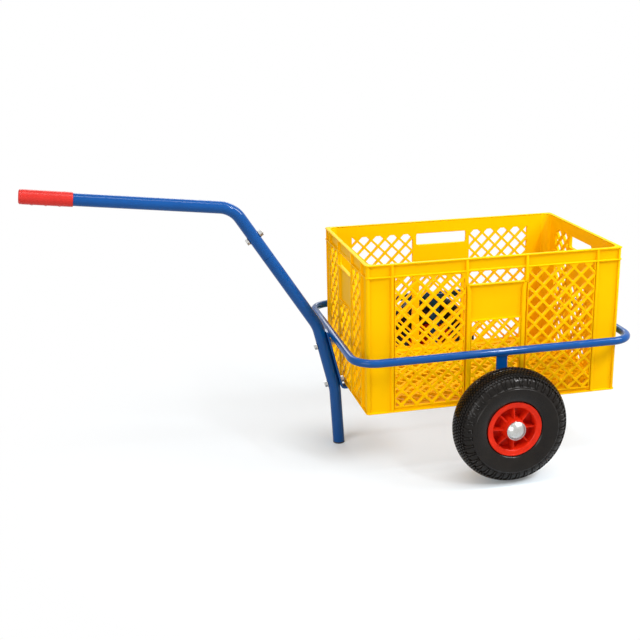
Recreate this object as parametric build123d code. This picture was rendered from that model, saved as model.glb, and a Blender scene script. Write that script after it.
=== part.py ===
from build123d import *
import math
import os

# Two-wheeled hand cart: a lattice crate stands in a tube ring, carried by flat straps on an axle.
# The bent drawbar ends as the standing leg. Millimetres. +X points back from the handle, +Y to the
# right-hand side of someone who pulls the cart, +Z up, and the floor is at Z = 0.

# Wheels
WHEEL_DIAMETER = 260.0
TYRE_WIDTH = 85.0
TYRE_TO_STRAP = 11.5          # gap between the tyre and the upright beside it
TYRE_BULGE = 0.57             # widest place, as a share of the height from seat to crown
TYRE_FULLNESS = 0.72          # how far the side wall has widened half way up
TYRE_WALL = 8.0               # under the tread and in the side walls
TYRE_MOUTH = 18.0             # gap between the tyre's two beads
TREAD_DEPTH = 4.0
TREAD_SLOTS = 36              # shoulder slots round each side of the tyre
TREAD_SLOT_WIDTH = 5.0
RIM_DIAMETER = 125.0          # over the lips
RIM_WIDTH = 65.0
RIM_WALL = 4.0
RIM_LIP_HEIGHT = 9.0          # how far the lips stand above the tyre seat
RIM_LIP_EDGE = 3.5
RIM_FLARE = 6.5               # depth of the flared mouth of each lip
RIM_WEB = 6.0
RIM_RIBS = 8
RIM_RIB_THICKNESS = 3.0
RIM_RIB_SETBACK = 8.0         # from the lip's face back to the rib's edge
HUB_WALL = 10.35
HUB_LENGTH = 75.0

# Axle and bearings
AXLE_DIAMETER = 20.0
AXLE_END = 5.0                # the axle reaches this far into each cap
COLLAR_WALL = 8.0
COLLAR_LENGTH = 10.0
SHIM_WIDTH = 10.0             # flat rings on both sides of each hub
SHIM_THICKNESS = 2.0
HUB_PLAY = 0.3
ROLLER_DIAMETER = 5.0
ROLLER_LENGTH = 52.0
ROLLER_COUNT = 10
CAGE_LENGTH = 62.0
CAGE_WALL = 2.6
SLEEVE_WALL = 1.5
RUNNING_GAP = 0.05            # radial gap wherever one piece turns or slides in another
SEAT_GAP = 0.05               # radial gap at a fixed seat
CAP_RIM = 11.5                # width of the cap's base round the axle
CAP_HEIGHT = 12.0
CAP_EDGE = 1.5
CAP_WALL = 1.2

# Crate
CRATE_LENGTH = 600.0
CRATE_WIDTH = 400.0
CRATE_HEIGHT = 342.0
CRATE_WALL = 3.0
CRATE_INSET = 6.0             # the walls stand this far inside the rim
CRATE_CORNER = 8.0            # corner radius over the rim
POST_WIDTH = 9.0              # raised corner edges, from the rim's outline inwards
POST_SETBACK = 1.5            # the corner edges stand this far inside the rim
RIM_BAND = 30.0               # height of the band between the two rim flanges
FLANGE = 3.0                  # thickness of rim and base flanges
FLOOR = 8.5
BASE_BAND = 13.0              # plain strip of wall at the foot
FLOOR_BORDER = 22.0
RIB = 5.5                     # width of the upright ribs
SIDE_RIB = 70.0               # upright ribs of the long walls, from the middle
SIDE_CORNER = 54.0            # plain corner panel of the long walls
END_RIB = 64.0                # upright ribs of the end walls, from the middle
END_CORNER = 42.0             # plain corner panel of the end walls
PANEL_MARGIN = 5.0            # plain strip between a middle rib and its lattice
PANEL_EDGE = 7.0              # plain strip between an outer rib and its lattice
LATTICE_PITCH = 36.0          # from crossing to crossing, level and upright
LATTICE_STRIP = 4.5
LATTICE_DEPTH = 7.5           # the lattice panels are thicker than the plain wall
LATTICE_BORDER = 2.0          # solid edge round each lattice panel
FLOOR_STRIP = 8.0             # lattice strips of the floor
SMALLEST_HOLE = 40.0          # square millimetres; smaller cut-off openings stay closed
GRIP_HOLE_HEIGHT = 30.0
GRIP_HOLE_CORNER = 5.0
LABEL_HEIGHT = 85.0           # plain plate under each hand hole
CRATE_REST_GAP = 0.3          # the crate stands loose on the straps

# Ring and straps
RING_TUBE = 18.0
RING_WALL = 1.5
RING_BEND = 52.0              # bend radius at the tube's middle
RING_ABOVE_FLOOR = 134.0      # ring above the crate's underside
SIDE_GAP = 29.0               # from the crate's rim to the ring's inner side
FRONT_GAP = 22.5
REAR_GAP = 12.5
STRAP_WIDTH = 25.0
STRAP_THICKNESS = 5.0
STRAP_BEND = 8.0              # bend radius at the strap's middle
STRAP_ABOVE_RING = 6.0        # the front strap ends this far above the ring's middle
WELD_GAP = 0.1                # between the ring and the strap ends shaped to it

# Drawbar
BAR_TUBE = 28.0
BAR_WALL = 2.0
LEG_LEAN = 13.6               # degrees from upright, where the leg is bolted on
FOOT_LEAN = 3.0
SLOPE = 57.4                  # degrees above level, slanted part
HANDLE_RISE = 6.6             # degrees above level, handle part
FOOT_BEND_DROP = 5.0          # from the straps down to the foot bend's corner point
LEG_BEND_LIFT = 19.6          # from the ring up to the leg bend's corner point
FOOT_BEND_RADIUS = 90.0
LEG_BEND_RADIUS = 90.0
HANDLE_BEND_RADIUS = 60.0
HANDLE_LENGTH = 450.0         # from the bend's corner point to the tube's end
SEAM_ALONG = 206.5            # from the leg bend's corner point up the slope to the seam
SPIGOT_LENGTH = 90.0
SPIGOT_GAP = 0.15             # radial gap round the spigot
SPIGOT_TO_BEND = 20.0         # straight tube left above the spigot
SHOULDER = 4.0
JOINT_BOLT_ALONG = 55.0       # from the seam up to the joint bolt
LEG_BOLT_LIFT = 14.2          # lower leg bolt above the straps
LEG_BOLT_DROP = 27.0          # upper leg bolt below the ring
GRIP_LENGTH = 111.5
GRIP_WALL = 2.0
GRIP_END = 4.0
GRIP_ROUNDING = 3.0
GRIP_BUMPS = 3
GRIP_BUMP_PITCH = 28.5
GRIP_BUMP_RADIUS = 6.0
GRIP_BUMP_HEIGHT = 1.6
PLUG_FLANGE = 4.0
PLUG_LENGTH = 24.0

# Bolts, M8
BOLT = 8.0
BOLT_HOLE = 8.4
HEAD_FLATS = 13.0
HEAD_HEIGHT = 5.3
NUT_HEIGHT = 6.5
THREAD_OUT = 1.5
WASHER_DIAMETER = 16.0
WASHER_THICKNESS = 1.6

# Places that follow from the sizes above
AXLE_Z = WHEEL_DIAMETER / 2
STRAP_BOTTOM = AXLE_Z + AXLE_DIAMETER / 2
STRAP_MIDDLE = STRAP_BOTTOM + STRAP_THICKNESS / 2
CRATE_Z = STRAP_BOTTOM + STRAP_THICKNESS + CRATE_REST_GAP
CRATE_TOP = CRATE_Z + CRATE_HEIGHT
RING_Z = CRATE_Z + RING_ABOVE_FLOOR
RING_Y = CRATE_WIDTH / 2 + SIDE_GAP + RING_TUBE / 2
RING_FRONT = -(CRATE_LENGTH / 2 + FRONT_GAP + RING_TUBE / 2)
RING_REAR = CRATE_LENGTH / 2 + REAR_GAP + RING_TUBE / 2
WHEEL_Y = RING_Y + STRAP_THICKNESS / 2 + TYRE_TO_STRAP + TYRE_WIDTH / 2
BARREL = RIM_DIAMETER / 2 - RIM_LIP_HEIGHT
BARREL_INSIDE = BARREL - RIM_WALL
ROLLER_CIRCLE = AXLE_DIAMETER / 2 + RUNNING_GAP + ROLLER_DIAMETER / 2
SLEEVE_INSIDE = ROLLER_CIRCLE + ROLLER_DIAMETER / 2 + RUNNING_GAP
SLEEVE_OUTSIDE = SLEEVE_INSIDE + SLEEVE_WALL
HUB_FACE = HUB_LENGTH / 2
HUB_BORE = SLEEVE_OUTSIDE + SEAT_GAP
SIDES = {"left": -1, "right": 1}
WALL_HALF_X = CRATE_LENGTH / 2 - CRATE_INSET
WALL_HALF_Y = CRATE_WIDTH / 2 - CRATE_INSET
SIDE_RIBS = (SIDE_RIB, WALL_HALF_X - SIDE_CORNER)
END_RIBS = (END_RIB, WALL_HALF_Y - END_CORNER)
LEG_BOLT_Z = (STRAP_MIDDLE + LEG_BOLT_LIFT, RING_Z - LEG_BOLT_DROP)


def along(start, degrees, length):
    """The point that lies this far from start, in the upright plane, at an angle above +X."""
    angle = math.radians(degrees)
    return Vector(start) + Vector(math.cos(angle), 0, math.sin(angle)) * length


def at_height(start, degrees, height):
    """The point at this height on the line through start."""
    return along(start, degrees, (height - Vector(start).Z) / math.sin(math.radians(degrees)))


# Lines of the drawbar, in the upright plane through the middle
LEG_ANGLE = 90 + LEG_LEAN
FOOT_ANGLE = 90 + FOOT_LEAN
SLOPE_ANGLE = 180 - SLOPE
HANDLE_ANGLE = 180 - HANDLE_RISE
TOWARDS_FRONT = LEG_ANGLE + 90
RING_BAR = Vector(RING_FRONT, 0, RING_Z)
STRAP_LINE = along(RING_BAR, TOWARDS_FRONT, RING_TUBE / 2 + STRAP_THICKNESS / 2)
LEG_LINE = along(RING_BAR, TOWARDS_FRONT, RING_TUBE / 2 + STRAP_THICKNESS + BAR_TUBE / 2)
LEG_BEND = at_height(LEG_LINE, LEG_ANGLE, RING_Z + LEG_BEND_LIFT)
FOOT_BEND = at_height(LEG_LINE, LEG_ANGLE, STRAP_MIDDLE - FOOT_BEND_DROP)
FOOT_POINT = at_height(FOOT_BEND, FOOT_ANGLE, 0)
SEAM = along(LEG_BEND, SLOPE_ANGLE, SEAM_ALONG)
HANDLE_TANGENT = HANDLE_BEND_RADIUS * math.tan(math.radians(SLOPE - HANDLE_RISE) / 2)
HANDLE_BEND = along(SEAM, SLOPE_ANGLE, SPIGOT_LENGTH + SPIGOT_TO_BEND + HANDLE_TANGENT)
HANDLE_END = along(HANDLE_BEND, HANDLE_ANGLE, HANDLE_LENGTH)


def direction(degrees):
    return along((0, 0, 0), degrees, 1)


def swept(points, radii, section, across):
    """A section carried along straight runs with round bends between them."""
    path = FilletPolyline(*points, radius=radii) if radii else Polyline(*points)
    start = Plane(origin=path @ 0, x_dir=across, z_dir=path % 0)
    return sweep(start * section, path=path)


def tube_section(diameter, wall):
    return Circle(diameter / 2) - Circle(diameter / 2 - wall)


def rod(start, towards, length, diameter):
    """A round bar from start, in a direction."""
    return extrude(Plane(origin=start, z_dir=towards) * Circle(diameter / 2), amount=length)


def pipe(start, towards, length, outer, inner):
    section = Circle(outer / 2) - Circle(inner / 2)
    return extrude(Plane(origin=start, z_dir=towards) * section, amount=length)


def turned(points, side):
    """A closed outline of (radius, distance along the axle), turned round the axle."""
    outline = make_face(Polyline(*[(r, side * y, 0) for r, y in points], close=True))
    return Pos(0, 0, AXLE_Z) * revolve(outline, Axis.Y)


def below(height):
    """A block that takes away everything under this height."""
    size = 4 * WHEEL_DIAMETER
    return Pos(FOOT_POINT.X, 0, height - size / 2) * Box(size, size, size)


# Ring and straps
def ring_path():
    size = RectangleRounded(RING_REAR - RING_FRONT, 2 * RING_Y, RING_BEND)
    return (Pos((RING_FRONT + RING_REAR) / 2, 0, RING_Z) * size).wire()


def ring(section):
    path = ring_path()
    start = Plane(origin=path @ 0, x_dir=(0, 0, 1), z_dir=path % 0)
    return sweep(start * section, path=path)


RING_ROOM = ring(Circle(RING_TUBE / 2 + WELD_GAP))
STRAP_SECTION = Rectangle(STRAP_WIDTH, STRAP_THICKNESS)


def ring_tube():
    return ring(tube_section(RING_TUBE, RING_WALL))


def cross_strap():
    points = [
        (0, -RING_Y, RING_Z),
        (0, -RING_Y, STRAP_MIDDLE),
        (0, RING_Y, STRAP_MIDDLE),
        (0, RING_Y, RING_Z),
    ]
    return swept(points, STRAP_BEND, STRAP_SECTION, (1, 0, 0)) - RING_ROOM


def leg_bolt_plane(height):
    """Where a leg bolt crosses the leg's middle, looking from its head to its nut."""
    return Plane(
        origin=at_height(LEG_LINE, LEG_ANGLE, height),
        x_dir=(0, 1, 0),
        z_dir=-direction(TOWARDS_FRONT),
    )


def bolt_hole(plane):
    length = 2 * (BAR_TUBE + STRAP_THICKNESS + BOLT)
    return extrude(plane * Circle(BOLT_HOLE / 2), amount=length / 2, both=True)


def keel_strap_front():
    corner = at_height(STRAP_LINE, LEG_ANGLE, STRAP_MIDDLE)
    top = at_height(STRAP_LINE, LEG_ANGLE, RING_Z + STRAP_ABOVE_RING)
    points = [(-STRAP_WIDTH / 2, 0, STRAP_MIDDLE), corner, top]
    strap = swept(points, STRAP_BEND, STRAP_SECTION, (0, 1, 0))
    for height in LEG_BOLT_Z:
        strap -= bolt_hole(leg_bolt_plane(height))
    return strap


def keel_strap_rear():
    points = [
        (STRAP_WIDTH / 2, 0, STRAP_MIDDLE),
        (RING_REAR, 0, STRAP_MIDDLE),
        (RING_REAR, 0, RING_Z),
    ]
    return swept(points, STRAP_BEND, STRAP_SECTION, (0, 1, 0)) - RING_ROOM


# Drawbar
def joint_bolt_plane():
    return Plane(
        origin=along(SEAM, SLOPE_ANGLE, JOINT_BOLT_ALONG),
        x_dir=(0, 1, 0),
        z_dir=direction(SLOPE_ANGLE - 90),
    )


def drawbar_lower():
    beyond = along(FOOT_POINT, FOOT_ANGLE, -BAR_TUBE)
    bends = [LEG_BEND_RADIUS, FOOT_BEND_RADIUS]
    tube = swept([SEAM, LEG_BEND, FOOT_BEND, beyond], bends, tube_section(BAR_TUBE, BAR_WALL), (0, 1, 0))
    neck = BAR_TUBE - 2 * (BAR_WALL + SPIGOT_GAP)
    root = along(SEAM, SLOPE_ANGLE, -SHOULDER)
    tube += pipe(root, direction(SLOPE_ANGLE), SHOULDER, BAR_TUBE, neck - 2 * BAR_WALL)
    tube += pipe(SEAM, direction(SLOPE_ANGLE), SPIGOT_LENGTH, neck, neck - 2 * BAR_WALL)
    tube -= below(PLUG_FLANGE)
    tube -= bolt_hole(joint_bolt_plane())
    for height in LEG_BOLT_Z:
        tube -= bolt_hole(leg_bolt_plane(height))
    return tube


def drawbar_upper():
    points = [SEAM, HANDLE_BEND, HANDLE_END]
    tube = swept(points, HANDLE_BEND_RADIUS, tube_section(BAR_TUBE, BAR_WALL), (0, 1, 0))
    return tube - bolt_hole(joint_bolt_plane())


def grip():
    outer = BAR_TUBE + 2 * (SEAT_GAP + GRIP_WALL)
    inner = BAR_TUBE + 2 * SEAT_GAP
    out = direction(HANDLE_ANGLE)
    start = along(HANDLE_END, HANDLE_ANGLE, GRIP_END - GRIP_LENGTH)
    sleeve = rod(start, out, GRIP_LENGTH, outer)
    sleeve = fillet(sleeve.faces().sort_by(Axis.X)[0].edges(), GRIP_ROUNDING)
    under = direction(HANDLE_ANGLE + 90) * (outer / 2 + GRIP_BUMP_HEIGHT - GRIP_BUMP_RADIUS)
    middle = start + out * (GRIP_LENGTH / 2)
    for bump in range(GRIP_BUMPS):
        shift = (bump - (GRIP_BUMPS - 1) / 2) * GRIP_BUMP_PITCH
        sleeve += Pos(*(middle + out * shift + under)) * Sphere(GRIP_BUMP_RADIUS)
    return sleeve - rod(start, out, GRIP_LENGTH - GRIP_END, inner)


def foot_plug():
    up = direction(FOOT_ANGLE)
    start = along(FOOT_POINT, FOOT_ANGLE, -BAR_TUBE)
    slab = Pos(FOOT_POINT.X, 0, PLUG_FLANGE / 2) * Box(2 * BAR_TUBE, 2 * BAR_TUBE, PLUG_FLANGE)
    flange = rod(start, up, 2 * BAR_TUBE, BAR_TUBE) & slab
    core = rod(start, up, BAR_TUBE + PLUG_LENGTH, BAR_TUBE - 2 * (BAR_WALL + SEAT_GAP))
    return flange + core - below(0)


# Bolts
def hexagon(flats):
    return RegularPolygon(radius=flats / 2, side_count=6, major_radius=False)


def bolt_set(plane, head_seat, nut_seat):
    """Bolt, washers and nut along plane's normal; the seats are distances from its origin."""

    def disc(section, start, length):
        return extrude(plane.offset(start) * section, amount=length)

    washer_ring = Circle(WASHER_DIAMETER / 2) - Circle(BOLT_HOLE / 2)
    head = -head_seat - WASHER_THICKNESS
    nut = nut_seat + WASHER_THICKNESS
    bolt = disc(hexagon(HEAD_FLATS), head - HEAD_HEIGHT, HEAD_HEIGHT)
    bolt += disc(Circle(BOLT / 2), head, nut + NUT_HEIGHT + THREAD_OUT - head)
    washers = [
        disc(washer_ring, head, WASHER_THICKNESS),
        disc(washer_ring, nut_seat, WASHER_THICKNESS),
    ]
    nut_ring = hexagon(HEAD_FLATS) - Circle(BOLT / 2 + SEAT_GAP)
    return bolt, washers, disc(nut_ring, nut, NUT_HEIGHT)


def joint_bolt_set():
    return bolt_set(joint_bolt_plane(), BAR_TUBE / 2, BAR_TUBE / 2)


def leg_bolt_sets():
    return [
        bolt_set(leg_bolt_plane(height), BAR_TUBE / 2, BAR_TUBE / 2 + STRAP_THICKNESS)
        for height in LEG_BOLT_Z
    ]


# Axle and what is on it
SHIM_OUTER = WHEEL_Y + HUB_FACE + HUB_PLAY
SHIM_INNER = WHEEL_Y - HUB_FACE - HUB_PLAY - SHIM_THICKNESS
CAP_FACE = SHIM_OUTER + SHIM_THICKNESS


def axle():
    half = CAP_FACE + AXLE_END
    return rod((0, -half, AXLE_Z), (0, 1, 0), 2 * half, AXLE_DIAMETER)


def ring_on_axle(side, start, length, outer):
    inner = AXLE_DIAMETER + 2 * SEAT_GAP
    return pipe((0, side * start, AXLE_Z), (0, side, 0), length, outer, inner)


def axle_collar(side):
    outer = AXLE_DIAMETER + 2 * COLLAR_WALL
    return ring_on_axle(side, SHIM_INNER - COLLAR_LENGTH, COLLAR_LENGTH, outer)


def hub_shims(side):
    outer = AXLE_DIAMETER + 2 * SHIM_WIDTH
    return [ring_on_axle(side, start, SHIM_THICKNESS, outer) for start in (SHIM_INNER, SHIM_OUTER)]


def dome(radius, foot, height):
    """Half of a dome's outline: from its foot, over a round arc, to its top on the axis."""
    rise = height - foot
    ball = (radius**2 + rise**2) / (2 * rise)
    middle = radius / 2
    return ThreePointArc(
        (radius, foot),
        (middle, height - ball + math.sqrt(ball**2 - middle**2)),
        (0, height),
    )


def hub_cap(side):
    """A pressed cap that grips the axle with the hole in its base."""
    outside = AXLE_DIAMETER / 2 + CAP_RIM
    inside = outside - CAP_WALL
    bore = AXLE_DIAMETER / 2 + SEAT_GAP
    outer = dome(outside, CAP_EDGE, CAP_HEIGHT)
    inner = dome(inside, CAP_EDGE, CAP_HEIGHT - CAP_WALL)
    outline = [
        Polyline((bore, CAP_WALL), (bore, 0), (outside, 0), (outside, CAP_EDGE)),
        outer,
        Line((0, CAP_HEIGHT), (0, CAP_HEIGHT - CAP_WALL)),
        inner,
        Polyline((inside, CAP_EDGE), (inside, CAP_WALL), (bore, CAP_WALL)),
    ]
    cap = revolve(make_face(outline), Axis.Y)
    turn = Rot(0, 0, 0) if side > 0 else Rot(180, 0, 0)
    return Pos(0, side * CAP_FACE, AXLE_Z) * turn * cap


# Wheels
def rim(side):
    hub = HUB_BORE + HUB_WALL
    lip = RIM_DIAMETER / 2
    face = RIM_WIDTH / 2
    web = RIM_WEB / 2
    half = [
        (HUB_BORE, HUB_FACE),
        (hub, HUB_FACE),
        (hub, web),
        (BARREL_INSIDE, web),
        (BARREL_INSIDE, face - RIM_FLARE),
        (lip - RIM_WALL, face),
        (lip, face),
        (lip, face - RIM_LIP_EDGE),
        (BARREL, face - RIM_LIP_EDGE - RIM_FLARE),
    ]
    body = turned(half + [(r, -y) for r, y in reversed(half)], side)
    inward = (hub - RIM_WALL + BARREL_INSIDE + RIM_WALL / 2) / 2
    length = BARREL_INSIDE - hub + 1.5 * RIM_WALL
    rib = Box(length, RIM_WIDTH - 2 * RIM_RIB_SETBACK, RIM_RIB_THICKNESS)
    for number in range(RIM_RIBS):
        body += Pos(0, 0, AXLE_Z) * Rot(0, 90 + number * 360 / RIM_RIBS, 0) * Pos(inward, 0, 0) * rib
    return Pos(0, side * WHEEL_Y, 0) * body


def tyre_outline():
    """The tyre's outline: seat, side walls with a step, shoulders and round crown."""
    lip = RIM_DIAMETER / 2 + SEAT_GAP
    face = RIM_WIDTH / 2
    half = TYRE_WIDTH / 2
    crown = WHEEL_DIAMETER / 2
    bulge = BARREL + TYRE_BULGE * (crown - BARREL)
    step = TREAD_DEPTH / 3
    shoulder = (crown - 3 * TREAD_DEPTH, half - 2 * TREAD_DEPTH)
    seat = (BARREL + SEAT_GAP, face - RIM_LIP_EDGE - RIM_FLARE - SEAT_GAP)
    lip_foot = (lip, face - RIM_LIP_EDGE - SEAT_GAP)
    wall_foot = (lip, face)
    wall_middle = ((lip + bulge) / 2, face + TYRE_FULLNESS * (half - face))
    flank_top = (bulge + step, half - step)
    flank_middle = ((flank_top[0] + shoulder[0]) / 2 + step, (flank_top[1] + shoulder[1]) / 2 + step)
    side = [
        Polyline(seat, lip_foot, wall_foot),
        ThreePointArc(wall_foot, wall_middle, (bulge, half)),
        Line((bulge, half), flank_top),
        ThreePointArc(flank_top, flank_middle, shoulder),
    ]
    tread = ThreePointArc(shoulder, (crown, 0), (shoulder[0], -shoulder[1]))
    bed = Line(seat, (seat[0], -seat[1]))
    return side + [edge.mirror(Plane.XZ) for edge in side] + [tread, bed]


def tyre_chamber():
    """The outline of the air chamber inside the tyre, open between the beads."""
    half = TYRE_WIDTH / 2 - TYRE_WALL
    crown = WHEEL_DIAMETER / 2 - TYRE_WALL
    mouth = TYRE_MOUTH / 2
    bulge = BARREL + TYRE_BULGE * (WHEEL_DIAMETER / 2 - BARREL)
    shoulder = (crown - 3 * TREAD_DEPTH, half - 2 * TREAD_DEPTH)
    side = [Polyline((BARREL, 0), (BARREL, mouth), (RIM_DIAMETER / 2, mouth), (bulge, half), shoulder)]
    top = ThreePointArc(shoulder, (crown - TREAD_DEPTH, 0), (shoulder[0], -shoulder[1]))
    return side + [edge.mirror(Plane.XZ) for edge in side] + [top]


def tyre(side):
    body = revolve(make_face(tyre_outline()), Axis.Y) - revolve(make_face(tyre_chamber()), Axis.Y)
    body = Pos(0, 0, AXLE_Z) * body
    crown = WHEEL_DIAMETER / 2
    slot = Box(2 * TREAD_DEPTH, TYRE_WIDTH / 4, TREAD_SLOT_WIDTH)
    place = Pos(crown - TREAD_DEPTH, TYRE_WIDTH * 3 / 8, 0)
    slots = []
    for number in range(TREAD_SLOTS):
        for turn, face in ((0, 0), (0.5, 180)):
            angle = (number + turn) * 360 / TREAD_SLOTS
            slots.append(Pos(0, 0, AXLE_Z) * Rot(0, angle, 0) * Rot(face, 0, 0) * place * slot)
    return Pos(0, side * WHEEL_Y, 0) * (body - slots)


def bearing_sleeve(side):
    start = (0, side * WHEEL_Y - HUB_FACE, AXLE_Z)
    return pipe(start, (0, 1, 0), HUB_LENGTH, 2 * SLEEVE_OUTSIDE, 2 * SLEEVE_INSIDE)


def roller_places(side):
    centre = Pos(0, side * WHEEL_Y, AXLE_Z)
    return [
        centre * Rot(0, number * 360 / ROLLER_COUNT, 0) * Pos(ROLLER_CIRCLE, 0, 0) * Rot(90, 0, 0)
        for number in range(ROLLER_COUNT)
    ]


def rollers(side):
    return [place * Cylinder(ROLLER_DIAMETER / 2, ROLLER_LENGTH) for place in roller_places(side)]


def roller_cage(side):
    start = (0, side * WHEEL_Y - CAGE_LENGTH / 2, AXLE_Z)
    inner = 2 * ROLLER_CIRCLE - CAGE_WALL
    cage = pipe(start, (0, 1, 0), CAGE_LENGTH, inner + 2 * CAGE_WALL, inner)
    pocket = Cylinder(ROLLER_DIAMETER / 2 + RUNNING_GAP, ROLLER_LENGTH + 2 * RUNNING_GAP)
    return cage - [place * pocket for place in roller_places(side)]


# Crate
def clipped(points, axis, limit, keep_above):
    """An outline cut off at a straight line across one axis."""
    sign = 1 if keep_above else -1
    heights = [sign * round(point[axis] - limit, 6) for point in points]
    kept = []
    for i, (point, height) in enumerate(zip(points, heights)):
        after = (i + 1) % len(points)
        if height >= 0:
            kept.append(point)
        if height * heights[after] < 0:
            share = height / (height - heights[after])
            kept.append(tuple(a + share * (b - a) for a, b in zip(point, points[after])))
    return kept


def outline_area(points):
    pairs = zip(points, points[1:] + points[:1])
    return abs(sum(a[0] * b[1] - b[0] * a[1] for a, b in pairs)) / 2


def lattice(first, last, bottom, top, strip):
    """Outlines of the diamond openings between two lines, counted from the first one's side."""
    step = LATTICE_PITCH / 2
    reach = step - strip / math.sqrt(2)
    onward = 1 if last > first else -1
    left, right = sorted((first, last))
    sides = ((0, left, True), (0, right, False), (1, bottom, True), (1, top, False))
    openings = []
    for row in range(math.ceil((top - bottom) / step) + 2):
        for column in range(math.ceil((right - left) / LATTICE_PITCH) + 2):
            u = first + onward * (column - (row % 2) / 2) * LATTICE_PITCH
            v = top + (0.5 - row) * step
            points = [(u + reach, v), (u, v + reach), (u - reach, v), (u, v - reach)]
            for axis, limit, keep_above in sides:
                points = clipped(points, axis, limit, keep_above)
            if outline_area(points) > SMALLEST_HOLE:
                openings.append(points)
    return openings


def closed_wire(points):
    return Polyline(*points, close=True).wire()


def plate(outline, openings, thickness):
    """A flat plate with openings, standing on the XY plane."""
    return extrude(Face(outline.wire(), openings), amount=thickness)


def lattice_panel(first, last, bottom, top):
    """The openings of one lattice panel of a wall laid flat, and the thick panel they go through."""
    openings = [closed_wire(points) for points in lattice(first, last, bottom, top, LATTICE_STRIP)]
    size = Rectangle(abs(last - first) + 2 * LATTICE_BORDER, top - bottom + 2 * LATTICE_BORDER)
    outline = Pos((first + last) / 2, (bottom + top) / 2, 0) * size
    return openings, plate(outline, openings, LATTICE_DEPTH)


def wall_plates(half_length, ribs):
    """One crate wall laid flat, across and up: hand hole, label plate and lattice panels."""
    middle, outer = ribs
    top = CRATE_HEIGHT - RIM_BAND
    ledge = top - GRIP_HOLE_HEIGHT
    inner = middle - PANEL_MARGIN
    panels = [lattice_panel(-inner, inner, BASE_BAND, ledge - LABEL_HEIGHT)]
    for sign in (-1, 1):
        panels.append(lattice_panel(sign * (middle + PANEL_MARGIN), sign * (outer - PANEL_EDGE), BASE_BAND, top))
    openings = [opening for wires, panel in panels for opening in wires]
    hole = Pos(0, (ledge + top) / 2, 0) * RectangleRounded(2 * inner, GRIP_HOLE_HEIGHT, GRIP_HOLE_CORNER)
    outline = Pos(0, CRATE_HEIGHT / 2, 0) * Rectangle(2 * half_length, CRATE_HEIGHT)
    wall = plate(outline, openings + [hole.wire()], CRATE_WALL)
    return [wall] + [panel for wires, panel in panels]


def wall_ribs(ribs):
    """Upright ribs outside one wall laid flat, and the ledge under its hand hole."""
    depth = CRATE_INSET + CRATE_WALL / 2
    lift = CRATE_WALL / 2 + depth / 2
    ledge = CRATE_HEIGHT - RIM_BAND - GRIP_HOLE_HEIGHT - FLANGE / 2
    upright = Box(RIB, CRATE_HEIGHT - FLANGE, depth)
    pieces = [Pos(sign * place, CRATE_HEIGHT / 2, lift) * upright for place in ribs for sign in (-1, 1)]
    return pieces + [Pos(0, ledge, lift) * Box(2 * ribs[0], FLANGE, depth)]


def band(height, inside):
    """A flange round the crate, from the rim's outline to some way into the walls."""
    reach = CRATE_INSET + inside
    outer = RectangleRounded(CRATE_LENGTH, CRATE_WIDTH, CRATE_CORNER)
    hollow = RectangleRounded(CRATE_LENGTH - 2 * reach, CRATE_WIDTH - 2 * reach, CRATE_CORNER - inside)
    return extrude(Pos(0, 0, height) * (outer - hollow), amount=FLANGE)


def corner_posts():
    """Raised corner edges between the flat walls, rounded like the rim."""
    outline = RectangleRounded(CRATE_LENGTH - 2 * POST_SETBACK, CRATE_WIDTH - 2 * POST_SETBACK, CRATE_CORNER)
    square = Rectangle(POST_WIDTH, POST_WIDTH)
    x = (CRATE_LENGTH - POST_WIDTH) / 2
    y = (CRATE_WIDTH - POST_WIDTH) / 2
    places = ((x, y), (-x, y), (-x, -y), (x, -y))
    return [extrude((Pos(px, py, 0) * square) & outline, amount=CRATE_HEIGHT) for px, py in places]


def crate_floor():
    edge_x = WALL_HALF_X - FLOOR_BORDER
    edge_y = WALL_HALF_Y - FLOOR_BORDER
    outline = RectangleRounded(2 * WALL_HALF_X, 2 * WALL_HALF_Y, CRATE_CORNER)
    openings = [closed_wire(points) for points in lattice(-edge_x, edge_x, -edge_y, edge_y, FLOOR_STRIP)]
    return plate(outline, openings, FLOOR)


def hand_hole_rooms():
    """The lower flange is left out over each hand hole, between the middle ribs."""
    height = CRATE_HEIGHT - RIM_BAND
    rooms = []
    for sign in (-1, 1):
        rooms.append(Pos(0, sign * CRATE_WIDTH / 2, height) * Box(2 * SIDE_RIB, 2 * CRATE_INSET, 3 * FLANGE))
        rooms.append(Pos(sign * CRATE_LENGTH / 2, 0, height) * Box(2 * CRATE_INSET, 2 * END_RIB, 3 * FLANGE))
    return rooms


def crate():
    pieces = corner_posts() + [crate_floor()]
    long_wall = wall_plates(CRATE_LENGTH / 2 - POST_WIDTH, SIDE_RIBS) + wall_ribs(SIDE_RIBS)
    end_wall = wall_plates(CRATE_WIDTH / 2 - POST_WIDTH, END_RIBS) + wall_ribs(END_RIBS)
    for turn in (0, 180):
        for quarter, half, wall in ((0, WALL_HALF_Y, long_wall), (90, WALL_HALF_X, end_wall)):
            upright = Rot(0, 0, turn + quarter) * Pos(0, CRATE_WALL - half, 0) * Rot(90, 0, 0)
            pieces += [upright * piece for piece in wall]
    pieces.append(band(0, CRATE_WALL))
    pieces.append(band(CRATE_HEIGHT - RIM_BAND, CRATE_WALL / 2) - hand_hole_rooms())
    pieces.append(band(CRATE_HEIGHT - FLANGE, CRATE_WALL))
    return Pos(0, 0, CRATE_Z) * pieces[0].fuse(*pieces[1:])


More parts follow.
